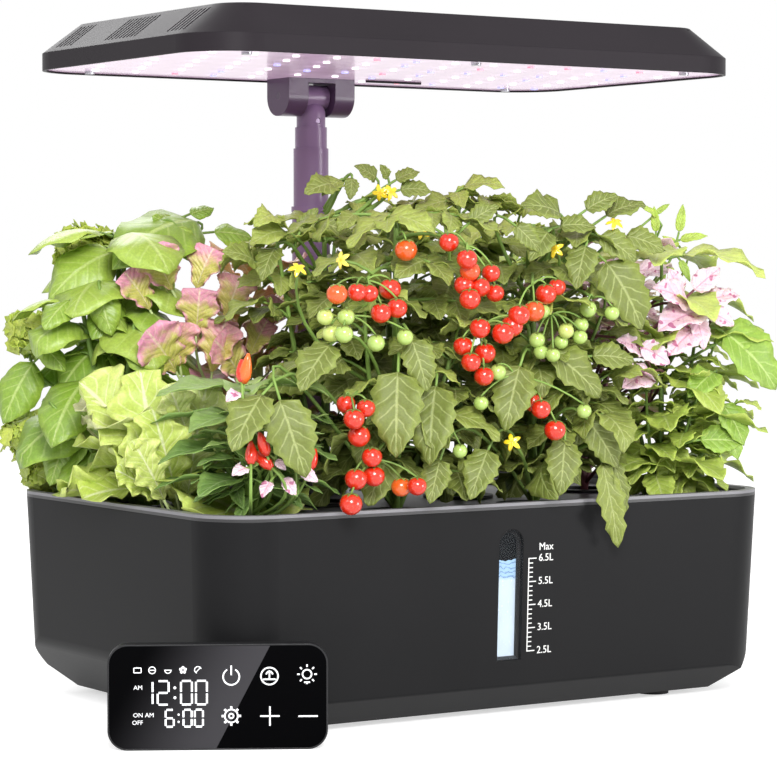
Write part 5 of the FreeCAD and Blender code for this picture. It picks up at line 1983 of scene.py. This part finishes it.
@dataclass(frozen=True)
class TomatoBed:
    """The five tomato plants, with their fruit and flowers where the photograph shows them."""

    frame_leaf: Habit = Habit(
        LEAFLET, 0, (40.0, 30.0), bend=1.0, leaflets=((0.5, 0.8), (0.84, 1.0)), loose=0.45, stalk_radius=1.0,
    )
    side_leaf: Habit = Habit(
        LEAFLET, 8, (36.0, 26.0), (30.0, 18.0), (0.2, 0.9), 1.3, leaflets=((0.7, 0.75),), first=0.3,
        loose=0.45, stalk_radius=0.9, tint=(0.0, 0.9),
    )
    # Each plant: its pod, the heights of its main stem and side shoots, and the shoots' leans.
    plants: tuple = (
        (2, ((-34, -22, 212), (24, -20, 196), (-20, -34, 176))),
        (3, ((34, -20, 214), (-22, -26, 206), (16, -34, 172))),
        (6, ((-38, -12, 252), (14, 8, 266))),
        (7, ((36, -8, 262), (-20, -14, 270))),
        (11, ((30, 6, 258), (36, -24, 268))),
    )
    red: tuple = (
        (2, 56, ((337, 294), (357, 292), (369, 293), (390, 289), (381, 313), (397, 308))),
        (2, 60, (
            (449, 242), (467, 259), (470, 271), (480, 287), (464, 285), (491, 273), (495, 293), (470, 299),
        )),
        (3, 60, ((480, 328), (503, 333), (512, 326), (463, 346), (485, 353), (471, 362), (484, 376))),
        (3, 58, ((519, 315), (534, 311), (546, 294), (557, 287))),
        (2, 56, ((346, 404), (366, 408), (354, 419), (359, 436))),
        (2, 60, ((372, 457), (356, 479), (374, 476), (401, 487), (417, 486), (351, 504))),
        (3, 58, ((533, 402), (541, 409), (555, 430))),
        (2, 44, ((406, 250),)),
    )
    green: tuple = (
        (2, 58, ((325, 317), (346, 317), (331, 333), (344, 334), (376, 343), (405, 337))),
        (3, 58, (
            (542, 311), (537, 340), (541, 352), (553, 355), (561, 342), (566, 331), (581, 325), (580, 337),
        )),
        (3, 54, ((588, 309), (612, 313))),
        (3, 60, ((481, 403), (498, 372), (584, 411))),
        (2, 60, ((427, 410), (460, 451))),
    )
    yellow: tuple = (
        (2, 58, ((298, 268), (341, 260))),
        (6, 30, ((380, 193), (391, 192), (422, 231))),
        (3, 50, ((555, 249), (615, 222))),
        (3, 62, ((512, 442),)),
    )
    hanging: tuple = ((602, 462, 618, 548, 53, 58, 0.5), (612, 458, 626, 512, 54, 58, 0.4))
    front_leaves: tuple = (
        (280, 400, 306, 478, 52, 60, 0.5), (262, 395, 232, 452, 50, 58, 0.5), (398, 372, 396, 458, 56, 64, 0.5),
        (436, 386, 430, 466, 56, 66, 0.5), (330, 345, 300, 392, 50, 58, 0.6), (412, 340, 428, 392, 54, 62, 0.6),
        (550, 352, 600, 398, 50, 58, 0.6), (520, 366, 505, 432, 54, 60, 0.5), (588, 420, 618, 468, 52, 60, 0.5),
        (565, 440, 560, 496, 54, 60, 0.4), (488, 450, 470, 500, 56, 62, 0.4), (440, 460, 430, 504, 56, 62, 0.4),
    )
    top_leaves: tuple = (
        (334, 184, 304, 194, 20, 26, 0.8), (340, 180, 322, 196, 20, 24, 0.5), (352, 178, 350, 200, 18, 22, 0.5),
        (376, 178, 354, 166, 12, 14, 0.5), (388, 178, 380, 164, 10, 12, 0.3), (396, 180, 420, 172, 12, 16, 0.7),
        (400, 190, 432, 192, 12, 18, 0.8), (300, 232, 318, 208, 16, 20, 0.4), (255, 262, 222, 252, 24, 30, 0.8),
        (275, 248, 262, 282, 26, 34, 0.7), (286, 232, 250, 246, 24, 32, 0.9), (318, 222, 352, 236, 22, 28, 0.6),
    )
    right_leaves: tuple = (
        (560, 214, 520, 206, 40, 46, 0.7), (586, 210, 618, 196, 40, 44, 0.8), (606, 216, 646, 206, 40, 44, 0.9),
        (600, 236, 636, 262, 46, 54, 0.9), (606, 262, 642, 330, 48, 58, 0.9), (586, 246, 576, 290, 50, 58, 0.7),
        (626, 236, 664, 252, 42, 50, 0.9), (548, 232, 530, 262, 48, 56, 0.7), (516, 226, 540, 252, 50, 56, 0.8),
        (592, 356, 634, 362, 50, 56, 0.8), (560, 226, 596, 228, 44, 50, 0.7), (470, 222, 498, 206, 40, 44, 0.8),
    )

    def build(self) -> None:
        """Grow the five plants."""
        grown = {}
        for number, shoots in self.plants:
            plant = Plant(number, "tomato", "tomato_leaf")
            plant.clothe(self.frame_leaf)
            for i, (x, y, top) in enumerate(shoots):
                plant.leafy(plant.shoot((x, y), top, 2.0, 8.0), self.side_leaf, phase=0.8 * i)
            grown[number] = plant
        for number, before, pixels in self.red:
            grown[number].truss(Part.RIPE, pixels, before, 5.5)
        for number, before, pixels in self.green:
            grown[number].truss(Part.GREEN, pixels, before, 4.4)
        for number, before, pixels in self.yellow:
            grown[number].flowers(pixels, before)
        grown[3].seen(self.hanging, LONG_LEAF, tint=0.45, over_edge=True)
        grown[2].seen(self.front_leaves[:6], LEAFLET, tint=0.1)
        grown[3].seen(self.front_leaves[6:], LEAFLET, tint=0.15)
        grown[6].seen(self.top_leaves, LEAFLET, tint=0.55)
        grown[3].seen(self.right_leaves, LEAFLET, tint=0.4)
        for plant in grown.values():
            plant.build()


@dataclass(frozen=True)
class LeftBed:
    """The plants left of the tomatoes: pepper, two lettuces, and basil with parsley."""

    pepper_leaf: Habit = Habit(NARROW, 16, (27.0, 17.0), (6.0, 3.0), (0.1, 0.9), 0.7, first=0.3)
    basil_leaf: Habit = Habit(
        SPOON, 12, (58.0, 34.0), (14.0, 5.0), (0.3, 0.8), 1.5, True, 0.35, loose=0.35, droop=(0.35, 0.9),
    )
    frill_leaf: Habit = Habit(FRILL, 9, (46.0, 34.0), (3.0, 2.0), (0.5, 1.2), 0.9, first=0.3, tint=(0.2, 0.8))
    crown_leaf: Habit = Habit(
        FRILL, 14, (74.0, 56.0), (2.0, 2.0), (0.55, 1.35), 0.9, first=0.1, tint=(0.1, 0.7),
    )
    basil_seen: tuple = (
        (198, 222, 112, 270, 10, 20, 1.3), (214, 232, 252, 238, 10, 12, 0.5), (114, 252, 48, 302, 4, -4, 1.3),
        (40, 344, 66, 372, -4, 6, 0.6), (34, 362, 3, 424, -20, -26, 0.8), (102, 330, 124, 346, 16, 18, 0.5),
        (60, 412, 84, 440, 24, 30, 0.6), (92, 452, 112, 482, 26, 32, 0.6), (180, 232, 152, 216, 10, 10, 0.4),
        (70, 300, 44, 330, 18, 24, 0.8), (118, 300, 92, 340, 16, 24, 0.8), (150, 280, 128, 330, 12, 20, 0.8),
        (66, 440, 50, 486, 6, 2, 0.5), (190, 214, 214, 208, 8, 8, 0.3),
        (176, 226, 192, 262, 20, 28, 0.7), (96, 284, 60, 320, 10, 10, 0.9), (100, 290, 112, 336, 26, 32, 0.8),
        (84, 398, 58, 440, 14, 10, 0.9), (96, 396, 104, 440, 32, 38, 0.8), (150, 264, 172, 300, 22, 30, 0.9),
    )
    # Each tuft: its middle's pixel and its reach.
    parsley_seen: tuple = (
        (78, 250, 10), (28, 334, 10), (26, 438, 11), (46, 476, 9), (50, 330, 8), (98, 246, 7),
    )
    pepper_fruit: tuple = (
        (244, 383), (251, 464), (267, 455), (279, 445), (295, 467), (309, 470), (242, 382), (272, 468),
    )
    low_pink: tuple = (
        (246, 468, 232, 476, 44, 48, 0.5), (270, 482, 262, 498, 46, 50, 0.5), (284, 478, 296, 496, 46, 50, 0.5),
        (300, 470, 318, 482, 46, 50, 0.5), (238, 392, 226, 402, 44, 48, 0.5), (276, 460, 286, 470, 46, 50, 0.4),
    )
    pale_seen: tuple = (
        (168, 476, 54, 382, 30, -6, 0.5), (176, 494, 152, 408, 40, 46, 0.5), (188, 494, 208, 380, 40, 44, 0.5),
        (160, 498, 106, 470, 34, 34, 0.6), (200, 500, 236, 430, 40, 46, 0.6), (160, 496, 140, 370, 30, 26, 0.5),
        (190, 440, 168, 384, 46, 50, 0.6), (206, 452, 224, 396, 46, 50, 0.6), (164, 500, 132, 440, 42, 44, 0.5),
    )
    red_seen: tuple = (
        (172, 290, 150, 246, 34, 38, 0.5), (196, 290, 214, 248, 34, 40, 0.5), (196, 336, 200, 288, 40, 48, 0.5),
        (176, 372, 146, 330, 44, 54, 0.6), (262, 330, 282, 300, 40, 48, 0.6), (250, 356, 268, 320, 42, 50, 0.6),
        (212, 372, 226, 322, 44, 52, 0.6), (226, 320, 240, 276, 38, 44, 0.6), (180, 366, 176, 322, 46, 56, 0.5),
        (290, 320, 306, 282, 40, 48, 0.6), (240, 380, 214, 340, 46, 54, 0.6), (150, 310, 124, 272, 30, 30, 0.5),
    )

    def build(self) -> None:
        """Grow the four plants."""
        self._pepper()
        self._pale_lettuce()
        self._red_lettuce()
        self._basil()

    def _pepper(self) -> None:
        """A low plant with narrow leaves and upright cones of fruit."""
        plant = Plant(1, "pepper", "pepper_leaf")
        plant.clothe(self.pepper_leaf, 2.2)
        for i, (x, y, top) in enumerate(((-18, -14, 150), (20, -12, 152), (8, -26, 142), (-24, 8, 156))):
            plant.leafy(plant.shoot((x, y), top, 1.8), self.pepper_leaf, phase=0.7 * i)
        rng = plant.rng
        count = len(self.pepper_fruit)
        centres = ROOM.hold(SIGHT.at(np.array(self.pepper_fruit), np.full(count, plant.foot[1] - 46)))
        ways = unit(UP + rng.normal(0, 0.35, (count, 3)))
        ends = centres + ways * rng.uniform(11, 16, (count, 1))
        radii = np.array([1.6, 3.0, 3.2, 2.7, 1.9, 0.7]) * np.ones((count, 1))
        paths = curve(centres, (centres + ends) / 2, ends, 6)
        plant.add(Part.RIPE, tubes(paths, radii, 10, rng.uniform(0, 1, count)))
        plant.stalks(centres, ways, np.full(count, 0.4))
        plant.seen(self.low_pink, BROAD, Part.SECOND, 0.6)
        plant.build()

    def _pale_lettuce(self) -> None:
        """A loose head of frilled pale leaves."""
        plant = Plant(5, "pale lettuce", "pale_leaf", stem="pale")
        plant.clothe(self.frill_leaf, 5.0)
        plant.leafy(plant.shoot((-2, -6), 122, 4.0, 1.0), self.crown_leaf)
        plant.seen(self.pale_seen, TONGUE, tint=0.4)
        plant.build()

    def _red_lettuce(self) -> None:
        """A tall frilled lettuce with pink edges."""
        plant = Plant(10, "red lettuce", "red_leaf", stem="pale")
        plant.clothe(self.frill_leaf, 4.0)
        for i, (x, y, top) in enumerate(((-26, -12, 206), (12, -20, 204))):
            plant.leafy(plant.shoot((x, y), top, 3.0, 3.0), self.frill_leaf, phase=0.9 * i)
        plant.seen(self.red_seen, FRILL, tint=0.5)
        plant.build()

    def _basil(self) -> None:
        """Basil with large spoon-shaped leaves, and parsley at its outer side."""
        plant = Plant(9, "basil", "basil_leaf", "parsley")
        plant.clothe(self.basil_leaf)
        for i, (x, y, top) in enumerate(((2, -4, 256), (-30, -10, 222), (-8, -34, 206))):
            plant.leafy(plant.shoot((x, y), top, 2.6), self.basil_leaf, phase=0.6 * i)
        plant.seen(self.basil_seen, SPOON, tint=0.5)
        rng = plant.rng
        for px, py, reach in self.parsley_seen:
            middle = ROOM.hold(SIGHT.at(np.array([[px, py]]), np.array([plant.foot[1] + 32])))
            count = 84
            way = unit(rng.normal(0, 1, (count, 3)) + UP * 0.5)
            base = middle + way * rng.uniform(0.5, 1.25, (count, 1)) * reach
            face = way + rng.normal(0, 0.3, (count, 3))
            run = np.cross(way, rng.normal(0, 1, (count, 3)))
            tint = rng.uniform(0.1, 1.0, count)
            grid = TINY.grid(base, run, face, rng.uniform(8, 13, count), np.full(count, 0.6), tint)
            plant.add(Part.SECOND, Grid(ROOM.hold(grid.points), grid.tint))
            hub = middle - UP * reach * 0.6
            plant.stalks(hub, UP[None], np.array([0.4]))
            tops = base[:count // 3]
            hubs = np.repeat(hub, len(tops), 0)
            paths = curve(hubs, (hubs + tops) / 2 + UP * 2, tops, 4)
            plant.add(Part.STEM, tubes(paths, np.full((len(tops), 4), 0.4), 5, np.full(len(tops), 0.4)))
        plant.build()


@dataclass(frozen=True)
class RightBed:
    """The plants right of the tomatoes: mint, coleus and a leafy herb."""

    mint_leaf: Habit = Habit(BROAD, 16, (27.0, 17.0), (4.0, 2.0), (0.0, 0.8), 0.8, True, 0.22)
    coleus_leaf: Habit = Habit(BROAD, 14, (36.0, 28.0), (8.0, 4.0), (0.1, 0.8), 0.8, True, 0.3, tint=(0.0, 1.0))
    pink_leaf: Habit = Habit(BROAD, 8, (30.0, 22.0), (6.0, 3.0), (0.0, 0.9), 0.7, True, 0.72, tint=(0.3, 1.0))
    herb_leaf: Habit = Habit(NARROW, 14, (34.0, 22.0), (3.0, 2.0), (0.4, 1.1), 0.5, True, 0.4)
    pink_seen: tuple = (
        (700, 312, 658, 332, 106, 112, 0.6), (704, 302, 740, 296, 104, 108, 0.6),
        (694, 330, 668, 356, 108, 114, 0.5), (640, 346, 670, 364, 110, 114, 0.5),
        (694, 290, 720, 268, 102, 104, 0.4), (688, 302, 652, 288, 104, 108, 0.5),
        (706, 310, 734, 326, 106, 112, 0.6), (696, 318, 704, 350, 108, 114, 0.5),
        (650, 372, 622, 388, 110, 116, 0.5), (680, 296, 668, 268, 100, 102, 0.4),
        (640, 352, 616, 340, 108, 112, 0.5),
    )
    herb_seen: tuple = (
        (724, 332, 776, 390, 34, 42, 0.8), (724, 424, 738, 460, 34, 42, 0.5), (700, 440, 742, 442, 34, 40, 0.5),
        (716, 344, 764, 330, 30, 34, 0.6), (722, 404, 744, 446, 34, 42, 0.7), (714, 372, 688, 398, 34, 40, 0.6),
    )
    sprig_seen: tuple = (
        (656, 232, 654, 206, 68, 68, 0.2), (656, 216, 640, 206, 68, 70, 0.4), (656, 214, 674, 204, 68, 70, 0.4),
        (679, 232, 683, 204, 88, 88, 0.2), (680, 240, 712, 236, 96, 106, 0.5), (679, 246, 662, 236, 88, 84, 0.5),
        (682, 256, 706, 262, 92, 98, 0.6), (680, 260, 690, 282, 92, 96, 0.6), (657, 258, 640, 250, 68, 70, 0.6),
        (657, 256, 664, 284, 70, 74, 0.7), (657, 262, 676, 272, 70, 76, 0.6), (655, 240, 634, 236, 68, 70, 0.6),
    )

    def build(self) -> None:
        """Grow the three plants."""
        mint = Plant(4, "mint", "mint_leaf", "herb")
        mint.clothe(self.mint_leaf, 2.0)
        mint.seen(self.herb_seen, BROAD, Part.SECOND, 0.2)
        shoots = (
            (-10, -14, 204), (14, -16, 212), (32, -10, 196), (-28, -22, 178), (4, -34, 176),
            (36, 12, 206), (-20, 12, 196), (26, -36, 162),
        )
        for i, (x, y, top) in enumerate(shoots):
            root = (x * 0.12, y * 0.12)
            mint.leafy(mint.shoot((x, y), top, 1.4, 5.0, root), self.mint_leaf, phase=0.5 * i)
        mint.build()
        coleus = Plant(8, "coleus", "coleus_leaf", "pink", "wine")
        coleus.clothe(self.coleus_leaf, 2.4)
        for i, (x, y, top) in enumerate(((26, -12, 238), (-24, -8, 226), (34, 14, 224))):
            path = coleus.shoot((x, y), top, 2.0)
            coleus.leafy(path, self.coleus_leaf, phase=0.6 * i)
            coleus.leafy(path, self.pink_leaf, Part.SECOND, phase=0.3 + 0.6 * i)
        coleus.seen(self.pink_seen, BROAD, Part.SECOND, 0.5)
        coleus.build()
        herb = Plant(12, "herb", "herb_leaf")
        herb.clothe(self.herb_leaf, 2.0)
        for i, (x, y, top) in enumerate(((-8, -2, 240), (8, -4, 244), (34, -8, 232), (-26, -10, 216))):
            herb.leafy(herb.shoot((x, y), top, 1.3, 4.0), self.herb_leaf, phase=0.7 * i)
        herb.seen(self.sprig_seen, NARROW, tint=0.8)
        herb.build()


def main() -> None:
    """Build every part of the scene in order."""
    Studio().build()
    HardPieces().build()
    SightWindow().build()
    PadFace().build()
    TomatoBed().build()
    LeftBed().build()
    RightBed().build()


if __name__ == "__main__":
    logging.basicConfig(level=logging.INFO, format="%(name)s %(message)s")
    main()
